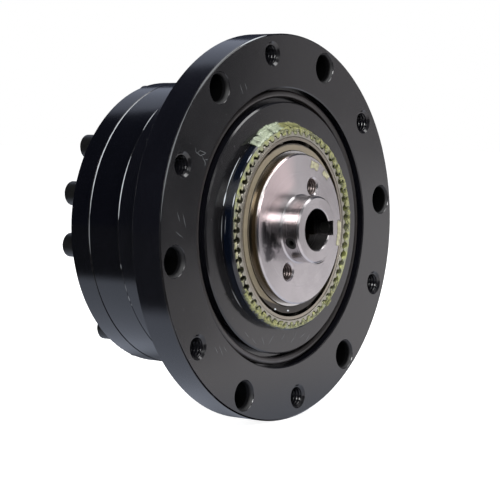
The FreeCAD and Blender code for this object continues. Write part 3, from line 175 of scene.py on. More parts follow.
class Shader:
    """A short way to write a material's nodes."""

    def __init__(self, name):
        self.material = bpy.data.materials.new(name)
        self.material.use_nodes = True
        self.tree = self.material.node_tree
        self.surface = self.tree.nodes["Principled BSDF"]

    def node(self, kind, **settings):
        made = self.tree.nodes.new("ShaderNode" + kind)
        for key, value in settings.items():
            setattr(made, key, value)
        return made

    def feed(self, socket, value):
        """Gives a socket a number, a colour, or what another socket says."""
        if isinstance(value, bpy.types.NodeSocket):
            self.tree.links.new(value, socket)
        elif isinstance(value, tuple):
            socket.default_value = (*value, 1)
        else:
            socket.default_value = value

    def give(self, node, **values):
        """Feeds a node's sockets by their names, with _ for a space."""
        for key, value in values.items():
            self.feed(node.inputs[key.replace("_", " ")], value)
        return node

    def place(self):
        """The object's own coordinates, in metres."""
        return self.node("TexCoord").outputs["Object"]

    def noise(self, scale, detail=4.0, rough=0.55):
        made = self.node("TexNoise")
        self.give(made, Vector=self.place(), Scale=scale, Detail=detail, Roughness=rough)
        return made.outputs["Fac"]

    def ramp(self, value, stops):
        """Turns a number into a grey: stops are (place, grey)."""
        made = self.node("ValToRGB")
        for element, (position, grey) in zip(made.color_ramp.elements, stops):
            element.position = position
            element.color = (grey, grey, grey, 1)
        return self.give(made, Fac=value).outputs["Color"]

    def math(self, operation, a, b=0.0, clamp=False):
        made = self.node("Math", operation=operation, use_clamp=clamp)
        self.feed(made.inputs[0], a)
        self.feed(made.inputs[1], b)
        return made.outputs["Value"]

    def plus(self, a, b):
        return self.math("ADD", a, b)

    def minus(self, a, b):
        return self.math("SUBTRACT", a, b)

    def times(self, *values):
        product = values[0]
        for value in values[1:]:
            product = self.math("MULTIPLY", product, value)
        return product

    def mix(self, factor, a, b):
        """Mixes two colours."""
        made = self.node("Mix", data_type="RGBA")
        for index, value in ((0, factor), (6, a), (7, b)):
            self.feed(made.inputs[index], value)
        return made.outputs[2]

    def fade(self, value, start, end, low=0.0, high=1.0):
        """Goes softly from low to high while the value goes from start to end."""
        made = self.node("MapRange", interpolation_type="SMOOTHSTEP")
        self.give(made, Value=value, From_Min=start, From_Max=end, To_Min=low, To_Max=high)
        return made.outputs["Result"]

    def split(self, vector):
        parts = self.give(self.node("SeparateXYZ"), Vector=vector).outputs
        return parts["X"], parts["Y"], parts["Z"]

    def axial(self):
        """Radius from the gear's axis, angle about it and place along it, of the shaded point."""
        x, y, z = self.split(self.place())
        squares = self.plus(self.times(x, x), self.times(z, z))
        return self.math("SQRT", squares), self.math("ARCTAN2", z, x), y

    def nearness(self, angle, degrees):
        """1 at that angle about the axis, 0 a quarter turn away, -1 opposite."""
        return self.math("COSINE", self.minus(angle, math.radians(degrees)))

    def bump(self, height, strength, distance):
        made = self.give(self.node("Bump"), Strength=strength, Distance=distance, Height=height)
        self.give(self.surface, Normal=made.outputs["Normal"])

    def edges(self, radius):
        """1 on edges, 0 on flats: how far a rounded normal leaves the true one."""
        bevel = self.give(self.node("Bevel", samples=6), Radius=radius)
        dot = self.node("VectorMath", operation="DOT_PRODUCT")
        self.feed(dot.inputs[0], bevel.outputs["Normal"])
        self.feed(dot.inputs[1], self.node("NewGeometry").outputs["Normal"])
        return self.math("SUBTRACT", 1.0, dot.outputs["Value"], clamp=True)

    def ring_lines(self, across, scale, seed):
        """Fine lines of turning: noise that changes only across the rings."""
        place = self.give(self.node("CombineXYZ"), X=across, Y=seed)
        made = self.node("TexNoise")
        self.give(made, Vector=place.outputs["Vector"], Scale=scale, Detail=5.0, Roughness=0.7)
        return made.outputs["Fac"]


# Materials: tints are (red, green, blue), and radii and places along Y are in metres

def greasy_tint(s):
    """Steel under a thin film of grease: grey-green, with yellow-green where the film is thick."""
    grey_green = (0.3, 0.31, 0.22)
    yellow_green = (0.42, 0.44, 0.17)
    return s.mix(s.ramp(s.noise(420.0, 4.0, 0.6), [(0.4, 0.0), (0.62, 1.0)]), grey_green, yellow_green)


def through_holes(s, radius, angle, along):
    """1 on the walls of the flange's six through holes, and 1 on their walls and chamfers."""
    # near a hole 1 - cos(6 a) is about 18 a squared, so this adds up to the squared distance from its axis
    off_axis = s.minus(1.0, s.nearness(s.times(angle, HOLES), 0.0))
    sideways = s.times(off_axis, radius, HOLE_CIRCLE * MM / 18)
    outward = s.minus(radius, HOLE_CIRCLE * MM)
    squared = s.plus(s.times(outward, outward), sideways)
    walls = s.times(s.fade(squared, 3.55e-5, 3.25e-5), s.fade(along, 0.0009, 0.0014))
    chamfers = s.times(s.fade(squared, 4.7e-5, 4.2e-5), s.fade(along, 0.0001, 0.0004))
    return walls, chamfers


def coat_material(name, tint=(0.0028, 0.0028, 0.0042), gloss=0.16, seed=0.0, teeth=False):
    """Black coat over machined iron: fine grain, faint marks of turning, worn edges, a dusty front, painted
    shade in its holes.

    With teeth, the inner ring's toothed rim is bare and greasy, and its collar has a painted navy sheen, a
    painted reflection.
    """
    dusty = (0.0045, 0.0042, 0.0046), (0.0105, 0.0101, 0.0111)
    speck = (0.075, 0.07, 0.075)
    bare_iron = (0.16, 0.16, 0.17)
    navy = (0.002, 0.0042, 0.011)
    painted_recess_shade = (0.001, 0.001, 0.001)
    specular = 0.62

    s = Shader(name)
    radius, angle, along = s.axial()
    fine = s.noise(2600.0, 3.0)
    patches = s.noise(38.0, 5.0, 0.6)
    lines = s.ring_lines(s.plus(radius, along), 1700.0, seed)
    base = s.mix(s.ramp(patches, [(0.35, 0.0), (0.75, 1.0)]), tint, shade(tint, 1.7))

    facing = s.split(s.node("NewGeometry").outputs["Normal"])[1]
    front = s.math("MULTIPLY", facing, -1.0, clamp=True)
    base = s.mix(front, base, s.mix(patches, *dusty))
    base = s.mix(s.times(front, s.ramp(s.noise(800.0, 2.0), [(0.7, 0.0), (0.76, 0.5)])), base, speck)
    wear = s.times(s.edges(0.0004), s.ramp(s.noise(420.0, 6.0, 0.7), [(0.48, 0.0), (0.62, 1.0)]))
    base = s.mix(s.math("MULTIPLY", wear, 1.6, clamp=True), base, bare_iron)
    rough = s.plus(gloss - 0.06, s.times(patches, 0.12))

    if teeth:
        left = s.fade(s.nearness(angle, 197), 0.7, 0.95)
        bare = s.fade(s.plus(radius, s.times(left, 0.0012)), 0.0411, 0.0415, 1.0, 0.0)
        # painted navy sheen on the collar's side: a painted reflection
        collar = s.times(s.fade(along, -0.0002, -0.0009, 0.0, 0.85), s.fade(radius, 0.0413, 0.0416))
        base = s.mix(collar, base, navy)
        base = s.mix(bare, base, greasy_tint(s))
        rough = s.plus(rough, s.times(bare, 0.22))
        s.give(s.surface, Metallic=s.times(bare, 0.55))

    # painted shade inside the holes, most of all where they lie to the right
    darker = s.plus(0.72, s.times(s.nearness(angle, 0), 0.25))
    darker = s.math("MAXIMUM", darker, s.fade(along, 0.0018, 0.0035))
    walls, chamfers = through_holes(s, radius, angle, along)
    holes = s.times(walls, darker)
    base = s.mix(holes, base, painted_recess_shade)
    rough = s.plus(rough, s.times(chamfers, 0.45))

    s.give(s.surface, Base_Color=base, Roughness=rough, Specular_IOR_Level=specular)
    # the holes mirror next to nothing
    s.give(s.surface, Specular_IOR_Level=s.minus(specular, s.times(holes, specular - 0.04)))
    s.bump(s.plus(s.times(fine, 0.4), s.times(lines, 0.6)), 0.12, 0.02 * MM)
    return s.material


def plug_painted_light(s, base, radius, angle, along):
    """Painted light on the plug's steel.

    It has a painted highlight at the upper left, a painted brown reflection of the cage behind its front edge
    and a painted dark reflection at the left of its face. Its bore has painted shade, left out at the lower
    right for a glint.
    """
    bright = (0.74, 0.62, 0.62)
    brown = (0.11, 0.085, 0.055)
    painted_dark_reflection = (0.03, 0.028, 0.033)
    painted_recess_shade = (0.02, 0.02, 0.021)
    # painted highlight at the upper left of the face
    highlight_sector = s.times(s.fade(s.nearness(angle, 132), 0.7, 0.95), s.fade(radius, 0.0145, 0.02))
    base = s.mix(highlight_sector, base, bright)
    # painted brown reflection of the cage on the plug's side, behind its front edge
    base = s.mix(s.fade(s.plus(along, s.times(s.noise(300.0), 0.0012)), -0.0062, -0.0055), base, brown)
    # painted dark reflection at the left of the face
    blur = s.times(s.minus(s.noise(160.0, 4.0), 0.5), 0.5)
    dark_reflection_mask = s.fade(s.plus(s.nearness(angle, 182), blur), 0.93, 1.02)
    on_face = s.times(s.fade(radius, 0.0278, 0.0252), s.fade(along, -0.0083, -0.0079, 0.0, 0.85))
    base = s.mix(s.times(dark_reflection_mask, on_face), base, painted_dark_reflection)
    # painted shade in the bore, left out at the lower right where a glint shows
    wet = s.fade(s.nearness(angle, 305), 0.35, 0.9)
    bore = s.fade(radius, 0.00868, 0.00852, 0.0, 0.93)
    return s.mix(s.times(bore, s.minus(1.0, wet)), base, painted_recess_shade)


def steel_material(name, tint=(0.5, 0.475, 0.48), rough=0.3, line_scale=2400.0, anisotropic=0.6,
                   depth=0.01 * MM, plug=False):
    """Turned steel: fine rings round the axis that stretch the reflections across them, and a few stains."""
    s = Shader(name)
    radius, angle, along = s.axial()
    lines = s.ring_lines(s.plus(radius, along), line_scale, 3.1)
    stains = s.noise(90.0, 5.0, 0.6)
    base = s.mix(s.ramp(stains, [(0.4, 0.0), (0.8, 1.0)]), tint, shade(tint, 0.82))
    base = s.mix(s.ramp(lines, [(0.45, 0.0), (0.75, 0.35)]), base, shade(tint, 0.7))
    # the plug gets a painted highlight, painted reflections and painted shade
    if plug:
        base = plug_painted_light(s, base, radius, angle, along)
    tangent = s.node("Tangent", direction_type="RADIAL", axis="Y").outputs["Tangent"]
    s.give(s.surface, Base_Color=base, Metallic=1.0, Roughness=s.plus(rough - 0.05, s.times(lines, 0.12)))
    s.give(s.surface, Anisotropic=anisotropic, Anisotropic_Rotation=0.25, Tangent=tangent)
    s.bump(lines, 0.35, depth)
    return s.material


def screw_material(name):
    """Black oxide on a screw."""
    s = Shader(name)
    grime = s.noise(600.0, 5.0, 0.6)
    base = s.mix(grime, (0.005, 0.005, 0.005), (0.02, 0.02, 0.018))
    s.give(s.surface, Base_Color=base, Metallic=0.3, Roughness=s.plus(0.3, s.times(grime, 0.2)))
    s.bump(s.noise(1800.0, 3.0), 0.2, 0.03 * MM)
    return s.material


def plastic_material(name, tint):
    """Cage plastic. At the bottom, the outer edge of its front is dark with painted shade of the gap beside
    it.
    """
    painted_gap_shade = (0.012, 0.007, 0.005)
    s = Shader(name)
    radius, angle, _ = s.axial()
    mottle = s.noise(260.0, 5.0, 0.6)
    base = s.mix(mottle, tint, shade(tint, 0.72))
    bottom = s.fade(s.nearness(angle, 262), 0.7, 1.0, 0.0, 0.0024)
    edge = s.minus(s.plus(radius, bottom), s.times(s.noise(300.0), 0.0008))
    # painted shade of the gap at the bottom of the front's outer edge
    base = s.mix(s.fade(edge, 0.0338, 0.0344, 0.0, 0.93), base, painted_gap_shade)
    s.give(s.surface, Base_Color=base, Roughness=s.plus(0.32, s.times(mottle, 0.25)))
    s.bump(s.noise(1500.0, 3.0), 0.25, 0.04 * MM)
    return s.material


def rubber_material(name):
    """Black rubber, paler at the lower left."""
    s = Shader(name)
    _, angle, _ = s.axial()
    mottle = s.noise(500.0, 4.0)
    base = s.mix(mottle, (0.007, 0.006, 0.006), (0.018, 0.014, 0.013))
    base = s.mix(s.fade(s.nearness(angle, 245), 0.8, 0.97), base, (0.04, 0.037, 0.038))
    s.give(s.surface, Base_Color=base, Roughness=s.plus(0.22, s.times(mottle, 0.2)))
    s.bump(s.noise(1200.0, 3.0), 0.2, 0.03 * MM)
    return s.material


def grease_material(name, dark, pale):
    """Grease: wet, lumpy, see-through where it is thin. Each patch says how thick it is at each point."""
    s = Shader(name)
    mottle = s.ramp(s.noise(1100.0, 5.0, 0.65), [(0.38, 0.0), (0.64, 1.0)])
    depth = s.node("Attribute", attribute_name="thickness").outputs["Fac"]
    tint = s.mix(s.fade(depth, 0.1, 0.7), shade(dark, 0.55), s.mix(mottle, dark, pale))
    speckled = s.plus(depth, s.times(s.noise(1500.0, 4.0, 0.6), 0.5))
    s.give(s.surface, Base_Color=tint, Alpha=s.fade(speckled, 0.2, 0.62, 0.0, 0.95))
    s.give(s.surface, Roughness=0.32, Coat_Weight=0.5, Coat_Roughness=0.12)
    s.bump(s.noise(1300.0, 4.0), 0.7, 0.25 * MM)
    return s.material


def card_material(name, colour, strength):
    """One even light, or with no strength a black that mirrors nothing."""
    s = Shader(name)
    s.give(s.surface, Base_Color=(0, 0, 0), Specular_IOR_Level=0.0)
    s.give(s.surface, Emission_Color=colour, Emission_Strength=strength)
    return s.material


def rim_glint_material():
    """A painted highlight that glows on the plug's bevel, broken by the lines of turning."""
    s = Shader("rim_glint")
    broken = s.ramp(s.noise(500.0, 5.0, 0.7), [(0.35, 0.2), (0.6, 0.75)])
    s.give(s.surface, Base_Color=(0.4, 0.38, 0.37), Roughness=0.5)
    s.give(s.surface, Emission_Color=(1.0, 0.94, 0.92), Emission_Strength=broken)
    return s.material


def paint(node_name, material):
    """Gives a CAD node that material."""
    slots = NODES[node_name].data.materials
    slots.clear()
    slots.append(material)


# Studio

def floor_material():
    """White to the camera. In reflections it is a table: bright near the part, dark beyond its left edge."""
    s = Shader("floor")
    path = s.node("LightPath").outputs
    glossy = path["Is Glossy Ray"]
    seen = s.math("MAXIMUM", path["Is Camera Ray"], path["Is Transmission Ray"])
    x, y, _ = s.split(s.place())
    table = s.times(s.fade(y, -0.12, 0.04, 1.26, 0.85), s.fade(x, -0.13, -0.105, 0.07, 1.0))
    # darker in front of the part towards the camera, and a painted shadow of the round body under it
    nearer = s.plus(x, s.times(y, 1.295))
    dim = s.times(s.fade(nearer, -0.08, -0.015, 0.55, 0.0), s.fade(y, -0.2, -0.1, 1.0, 0.0))
    slanted = s.minus(x, s.times(s.minus(y, 0.05), 0.35))
    under = s.times(s.fade(slanted, -0.035, 0.0, 0.0, 0.8), s.fade(y, -0.01, 0.02))
    table = s.times(table, s.minus(1.0, dim), s.minus(1.0, under))
    cool = s.mix(s.fade(y, -0.1, 0.04), (1.0, 0.97, 1.0), (0.86, 0.94, 1.13))
    s.give(s.surface, Emission_Color=s.mix(glossy, (1.0, 1.0, 1.0), cool))
    s.give(s.surface, Emission_Strength=s.plus(s.times(glossy, table), s.times(seen, 0.9)))
    s.give(s.surface, Base_Color=s.mix(glossy, (0.8, 0.8, 0.8), (0.0, 0.0, 0.0)))
    s.give(s.surface, Roughness=0.9, Specular_IOR_Level=0.0)
    return s.material


def build_world():
    """A white backdrop for the camera, a dim room in reflections, and soft light all round."""
    world = bpy.data.worlds.new("world")
    world.use_nodes = True
    tree = world.node_tree
    background = tree.nodes["Background"]
    path = tree.nodes.new("ShaderNodeLightPath")
    seen = tree.nodes.new("ShaderNodeMath")
    seen.operation = "MAXIMUM"
    tree.links.new(path.outputs["Is Camera Ray"], seen.inputs[0])
    tree.links.new(path.outputs["Is Transmission Ray"], seen.inputs[1])
    mirrored = tree.nodes.new("ShaderNodeMix")
    mirrored.data_type = "RGBA"
    tree.links.new(path.outputs["Is Glossy Ray"], mirrored.inputs[0])
    mirrored.inputs[6].default_value = (*ROOM_LIGHT, 1)
    mirrored.inputs[7].default_value = (*ROOM_MIRRORED, 1)
    backdrop = tree.nodes.new("ShaderNodeMix")
    backdrop.data_type = "RGBA"
    tree.links.new(seen.outputs[0], backdrop.inputs[0])
    tree.links.new(mirrored.outputs[2], backdrop.inputs[6])
    backdrop.inputs[7].default_value = (1, 1, 1, 1)
    tree.links.new(backdrop.outputs[2], background.inputs["Color"])
    background.inputs["Strength"].default_value = 1.0
    bpy.context.scene.world = world


def build_stage():
    floor = rectangle("floor", (FLOOR_SIDE, FLOOR_SIDE), floor_material())
    floor.matrix_world = STAGE_TURN @ Matrix.Translation((0, 0, FLOOR))
    build_world()

    # two cards in front, seen only in the front faces, and one behind, seen along the top of the round body
    add_card("card_front_left", place=(-0.42, -0.5, 0.455), facing=(-0.42, 0, 0.455), size=(2.13, 1.07),
             material=card_material("dark_card", (0.9, 0.95, 1.1), 0.07))
    add_card("card_front_right", place=(1.645, -0.5, 0.52), facing=(1.645, 0, 0.52), size=(2.0, 1.0),
             material=card_material("mid_card", (1.0, 0.96, 1.0), 0.6))
    add_card("card_back", place=(0.6, 1.04, 0.9), facing=(0, 0.05, 0.03), size=(0.85, 0.6),
             material=card_material("back_card", (0.84, 0.92, 1.15), 0.62))

    add_lamp("lamp_key", place=(-0.54, -0.48, 0.45), target=(0, 0, 0), size=(0.3, 0.3), power=5.0)
    add_lamp("lamp_top", place=(0.1, -0.35, 0.9), target=(0, 0.02, 0), size=(0.7, 0.5), power=5.0)
    add_lamp("lamp_right", place=(0.7, -0.75, 0.35), target=(0, 0, 0), size=(0.5, 0.5), power=2.5)
    add_lamp("lamp_rear", place=(0.3, 1.15, 0.1), target=(0, 0.07, 0), size=(0.4, 0.4), power=7.0)


# Mesh helpers

def make_object(name, shape, material, smooth=True):
    mesh = bpy.data.meshes.new(name)
    shape.normal_update()
    shape.to_mesh(mesh)
    shape.free()
    mesh.materials.append(material)
    if smooth:
        mesh.shade_smooth()
    return on_scene(bpy.data.objects.new(name, mesh))


def skin_rings(rings, closed=True):
    """A mesh through rings of points, each with as many; closed joins the last ring to the first."""
    shape = bmesh.new()
    rows = [[shape.verts.new(point) for point in ring] for ring in rings]
    pairs = zip(rows, rows[1:] + rows[:1]) if closed else zip(rows, rows[1:])
    for row, following in pairs:
        total = len(row)
        for k in range(total):
            shape.faces.new((row[k], row[(k + 1) % total], following[(k + 1) % total], following[k]))
    bmesh.ops.recalc_face_normals(shape, faces=shape.faces)
    return shape


def on_axis(radius, angle, along):
    """A point (x, y, z) at a radius from the axis and an angle in degrees about it."""
    way = math.radians(angle)
    return (radius * math.cos(way), along, radius * math.sin(way))


# Flexspline: it replaces the solid, because its toothed rim follows the wave and its rear end the output

def bent(radius, angle, along, share):
    """Where a point of the cup (mm) goes when the wave makes it oval; share fades to 0 at the round end.

    The line at PITCH_RADIUS keeps its length, and what stands on it leans with it.
    """
    turned = math.radians(angle - 90 + WAVE_ANGLE)
    height = WAVE_HEIGHT * share
    outward = height * math.cos(2 * turned)
    sideways = -0.5 * height * math.sin(2 * turned)
    lean = 1.5 * height * math.sin(2 * turned) / PITCH_RADIUS
    way = math.radians(angle)
    out = Vector((math.cos(way), 0, math.sin(way)))
    round_way = Vector((-math.sin(way), 0, math.cos(way)))
    out_now = out * math.cos(lean) + round_way * math.sin(lean)
    place = out * (PITCH_RADIUS + outward) + round_way * sideways + out_now * (radius - PITCH_RADIUS)
    return Vector((place.x, along, place.z)) * MM


def tooth_points(inset=0.0):
    """(radius, angle) round the toothed outline, eight for each tooth; inset pulls it in, for the bevel."""
    lean = math.tan(math.radians(FLANK_ANGLE))
    half = TOOTH_WIDTH / 2
    half_root = half + (PITCH_RADIUS - ROOT_RADIUS) * lean
    half_tip = half - (TIP_RADIUS - PITCH_RADIUS) * lean
    lowest = ROOT_RADIUS - 0.02
    # how far the corners at the root and the tip are softened
    root_reach = 0.35
    root_rise = 0.1
    root_in = 0.02
    tip_soft = 0.16
    tip_in = 0.07
    profile = [(ROOT_RADIUS, -half_root - root_reach), (ROOT_RADIUS + root_rise, -half_root + root_in),
               (TIP_RADIUS - tip_soft, -half_tip - tip_in), (TIP_RADIUS, -half_tip + tip_soft)]
    profile += [(radius, -across) for radius, across in reversed(profile)]
    points = []
    for k in range(TEETH):
        middle = 90 - WAVE_ANGLE + 360 * k / TEETH
        for radius, across in profile:
            radius = max(radius - inset, lowest) if inset else radius
            points.append((radius, middle + math.degrees(across / PITCH_RADIUS)))
    return points


def build_flexspline(material):
    """The cup as one closed skin: teeth, wall, round corner, disc and boss outside, then back inside."""
    tooth_bevel = 0.18
    bore_bevel = 0.12
    wall_steps = 8
    round_steps = 24
    bend_steps = 5
    inner = WALL_RADIUS - CUP_WALL
    small = CUP_BEND - CUP_WALL
    disc_front = DISC_BACK - DISC_THICKNESS
    outline = tooth_points()

    def plain(radius, along, share):
        return [bent(radius, angle, along, share) for _, angle in outline]

    def toothed(points, along):
        return [bent(radius, angle, along, 1) for radius, angle in points]

    rings = [toothed(tooth_points(tooth_bevel), RIM_FRONT), toothed(outline, RIM_FRONT + tooth_bevel),
             toothed(outline, RIM_END), plain(WALL_RADIUS, RIM_END, 1)]
    for k in range(1, wall_steps + 1):
        along = RIM_END + (ROUND_AT - RIM_END) * k / wall_steps
        rings.append(plain(WALL_RADIUS, along, 1 - k / wall_steps))
    for k in range(1, round_steps + 1):
        rings.append(plain(WALL_RADIUS, ROUND_AT + (DISC_BACK - CUP_BEND - ROUND_AT) * k / round_steps, 0))
    for k in range(1, bend_steps + 1):
        turn = math.radians(90 * k / bend_steps)
        radius = WALL_RADIUS - CUP_BEND + CUP_BEND * math.cos(turn)
        rings.append(plain(radius, DISC_BACK - CUP_BEND + CUP_BEND * math.sin(turn), 0))
    boss = [(BOSS_RADIUS, DISC_BACK), (BOSS_RADIUS, BOSS_END), (BOSS_BORE, BOSS_END), (BOSS_BORE, BOSS_FRONT),
            (BOSS_RADIUS, BOSS_FRONT), (BOSS_RADIUS, disc_front)]
    for radius, along in boss:
        rings.append(plain(radius, along, 0))
    for k in range(bend_steps, -1, -1):
        turn = math.radians(90 * k / bend_steps)
        radius = inner - small + small * math.cos(turn)
        rings.append(plain(radius, disc_front - small + small * math.sin(turn), 0))
    for k in range(round_steps - 1, -1, -1):
        rings.append(plain(inner, ROUND_AT + (disc_front - small - ROUND_AT) * k / round_steps, 0))
    for k in range(wall_steps - 1, -1, -1):
        share = 1 - k / wall_steps
        radius = inner + (BORE_RADIUS - inner) * share
        rings.append(plain(radius, RIM_END + (ROUND_AT - RIM_END) * k / wall_steps, share))
    rings.append(plain(BORE_RADIUS, RIM_FRONT + bore_bevel, 1))
    rings.append(plain(BORE_RADIUS + bore_bevel, RIM_FRONT, 1))
    return make_object("flexspline_cup", skin_rings(rings), material, smooth=False)


# Threads in the tapped holes

def thread_liner(name, centre, wall, crest, pitch, start, end, material, body):
    """The thread of a tapped hole along Y (mm): a sleeve sunk into the wall, with a helical groove inside."""
    segments = 40
    rows_per_turn = 6
    sunk = 0.25
    flank = 1.35
    rows = int((end - start) / pitch * rows_per_turn)

    def ring(radii, along):
        points = []
        for k, radius in enumerate(radii):
            way = 2 * math.pi * k / segments
            x = centre[0] + radius * math.cos(way)
            z = centre[1] + radius * math.sin(way)
            points.append(Vector((x, along, z)) * MM)
        return points

    def groove(along):
        phases = [(along / pitch - k / segments) % 1.0 for k in range(segments)]
        return [crest + (wall - crest) * min(1.0, flank * abs(2 * phase - 1)) for phase in phases]

    outside = [wall + sunk] * segments
    rings = [ring(outside, start)]
    for row in range(rows + 1):
        along = start + (end - start) * row / rows
        rings.append(ring(groove(along), along))
    rings.append(ring(outside, end))
    liner = make_object(name, skin_rings(rings), material)
    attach(liner, body)


def build_threads(coat, steel):
    for k in range(HOLES):
        x, _, z = on_axis(HOLE_CIRCLE, TAPPED_START + 360 / HOLES * k, 0)
        thread_liner("flange_thread_%d" % (k + 1), (x, z), wall=4.25, crest=3.8, pitch=1.5,
                     start=0.9, end=13.6, material=coat, body="casing")
    for k in range(PULLER_HOLES):
        x, _, z = on_axis(PULLER_CIRCLE, PULLER_START + 360 / PULLER_HOLES * k - WAVE_ANGLE, 0)
        thread_liner("puller_thread_%d" % (k + 1), (x, z), wall=3.4, crest=3.0, pitch=1.25,
                     start=-7.1, end=7.0, material=steel, body="wave_generator")


# Grease

def skin_height(radius):
    """The front under the grease, along Y (mm): toothed rim, collar's chamfer, cove, then the ring's face."""
    if radius < COLLAR_EDGE:
        return RIM_FRONT
    if radius < CHAMFER_RADIUS:
        return RIM_FRONT + (radius - COLLAR_EDGE)
    if radius < COVE_RADIUS:
        return CHAMFER_FRONT + COVE_RISE * (radius - CHAMFER_RADIUS) / (COVE_RADIUS - CHAMFER_RADIUS)
    return INNER_FACE


def plug_height(radius):
    """The plug's flat face, along Y (mm)."""
    return PLUG_FACE


def grease_depth(radius, angle, seed, cover, inside, dots):
    """How thick the grease is: full from 1 upwards, and thinning out to bare metal just below 0.

    inside is 1 well within the patch and 0 on its border. With dots, the spaces between the teeth stay open.
    """
    scale = 0.45
    raggedness = 0.75
    border_loss = 1.1
    space_middle = 39.6
    space_reach = 1.3
    space_loss = 1.9
    x, _, z = on_axis(radius, angle, 0)
    ragged = noise.fractal(Vector((x * scale, z * scale, seed)), 0.9, 2.1, 4)
    depth = (cover + raggedness * ragged) - border_loss * (1 - inside)
    if dots:
        space = max(0.0, math.cos(math.radians(SPACES * (angle - SPACE_START))))
        middle = max(0.0, 1.0 - abs(radius - space_middle) / space_reach)
        depth -= space_loss * space ** 2 * middle
    return depth


def smear(name, angles, radii, thick, cover, seed, material, body="casing", surface=skin_height, dots=False):
    """A ragged patch of grease between two angles (degrees) and two radii (mm).

    Noise decides where it is thick and where it is bare; cover moves that balance.
    """
    step = 0.28
    least = 0.03
    bare = -0.05
    rim_steepness = 4.0
    end_steepness = 9.0
    lump_scale = 1.3
    lumpiness = 0.6
    rows = max(4, int((radii[1] - radii[0]) / step))
    columns = int(math.radians(angles[1] - angles[0]) * radii[1] / step)
    shape = bmesh.new()
    thickness = shape.verts.layers.float.new("thickness")
    grid = []
    for i in range(rows + 1):
        row = []
        for k in range(columns + 1):
            radius = radii[0] + (radii[1] - radii[0]) * i / rows
            angle = angles[0] + (angles[1] - angles[0]) * k / columns
            rim = min(1.0, rim_steepness * min(i, rows - i) / rows)
            end = min(1.0, end_steepness * min(k, columns - k) / columns)
            depth = grease_depth(radius, angle, seed, cover, rim * end, dots)
            x, _, z = on_axis(radius, angle, 0)
            lumps = noise.noise(Vector((x * lump_scale, z * lump_scale, seed + 5.0)))
            lift = max(least, thick * min(1.0, depth) * (1.0 + lumpiness * lumps))
            vertex = shape.verts.new(Vector((x, surface(radius) - lift, z)) * MM)
            vertex[thickness] = min(1.0, max(0.0, depth))
            row.append((vertex, depth))
        grid.append(row)
    for i in range(rows):
        for k in range(columns):
            corners = (grid[i][k], grid[i][k + 1], grid[i + 1][k + 1], grid[i + 1][k])
            if max(depth for _, depth in corners) > bare:
                shape.faces.new([vertex for vertex, _ in corners])
    loose = [vertex for vertex in shape.verts if not vertex.link_faces]
    bmesh.ops.delete(shape, geom=loose, context="VERTS")
    patch = make_object(name, shape, material)
    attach(patch, body)


def build_grease(lumpy, film, smeared):
    # each: name, angles, radii, thickness, cover, seed, look
    smear("grease_top_left", (105, 119), (40.9, 43.6), 0.35, 0.6, 3.0, film)
    smear("grease_top_middle", (89, 110), (40.9, 44.7), 0.45, 0.75, 24.0, film)
    smear("grease_top_fan", (68, 97), (41.0, 44.2), 0.35, 0.75, 5.0, lumpy)
    smear("grease_plug_1", (55, 68), (25.6, 29.6), 0.12, 0.8, 61.0, smeared, "wave_generator", plug_height)
    smear("grease_plug_2", (38, 49), (26.6, 29.6), 0.12, 0.8, 63.0, smeared, "wave_generator", plug_height)
    smear("grease_plug_3", (334, 358), (26.4, 29.6), 0.12, 0.85, 65.0, smeared, "wave_generator", plug_height)
    smear("grease_top", (60, 100), (38.2, 42.6), 0.45, 0.42, 7.0, lumpy, dots=True)
    smear("grease_right", (-14, 66), (38.0, 42.1), 0.5, 0.62, 11.0, lumpy, dots=True)
    smear("grease_bottom_left", (205, 258), (38.3, 42.1), 0.8, 0.8, 21.0, lumpy, dots=True)
    smear("grease_bottom", (255, 322), (38.3, 41.7), 0.35, 0.3, 31.0, lumpy, dots=True)
    smear("grease_left", (120, 208), (38.2, 40.1), 0.25, 0.35, 41.0, smeared, dots=True)
    smear("grease_blob", (297.5, 303.5), (41.0, 44.9), 0.9, 1.25, 51.0, lumpy)


# Hair-thin lines: glints on the edges that glow as painted highlights, dark seams, a painted shadow at the
# hub, and scratches in the coat that glow faintly as painted highlights

# (radius, place along Y, first angle, last angle, width) in mm and degrees
GLINTS = [(41.75, -3.75, 124, 131, 0.45), (41.75, -3.75, 137, 141, 0.3), (41.75, -3.75, 150, 158, 0.45),
          (42.5, 0.3, 128, 150, 0.3), (42.5, 0.3, 150, 158, 0.6), (60.2, 54.5, 100, 168, 0.5),
          (60.7, 38.4, 119, 131, 0.4), (60.7, 38.4, 143, 168, 0.5), (79.85, 0.12, 92, 106, 0.5)]
FAINT_GLINTS = [(42.3, 0.3, 163, 177, 0.25), (41.9, -1.2, 160, 176, 0.3), (42.3, 0.3, 205, 219, 0.3),
                (79.85, 0.12, 103, 134, 0.45), (79.85, 0.12, 128, 168, 0.4),
                (60.7, 38.4, 185, 187, 0.35), (60.9, 38.1, 193, 196.5, 0.3), (60.9, 38.2, 198, 200.5, 0.35),
                (60.9, 38.1, 201.5, 202.6, 0.3), (60.2, 54.5, 166, 182, 0.4)]
BALL_GLINTS = [(34.6, -3.9, 241, 243, 0.75), (33.9, -3.9, 255.8, 258, 0.75)]
PLUG_RIM_GLINT = (29.9, -7.25, 112, 160, 0.95)

# in the same form, the dark lines where the casing's rings meet, and a painted shadow low on the edge of the
# hub's front
SEAMS = [(60.25, 54.5, 184, 285, 0.65), (60.75, 38.35, 192, 285, 0.7), (79.8, 0.1, 188, 275, 0.5)]
HUB_SHADOW_LINE = (13.95, -15.9, 254, 286, 0.45)

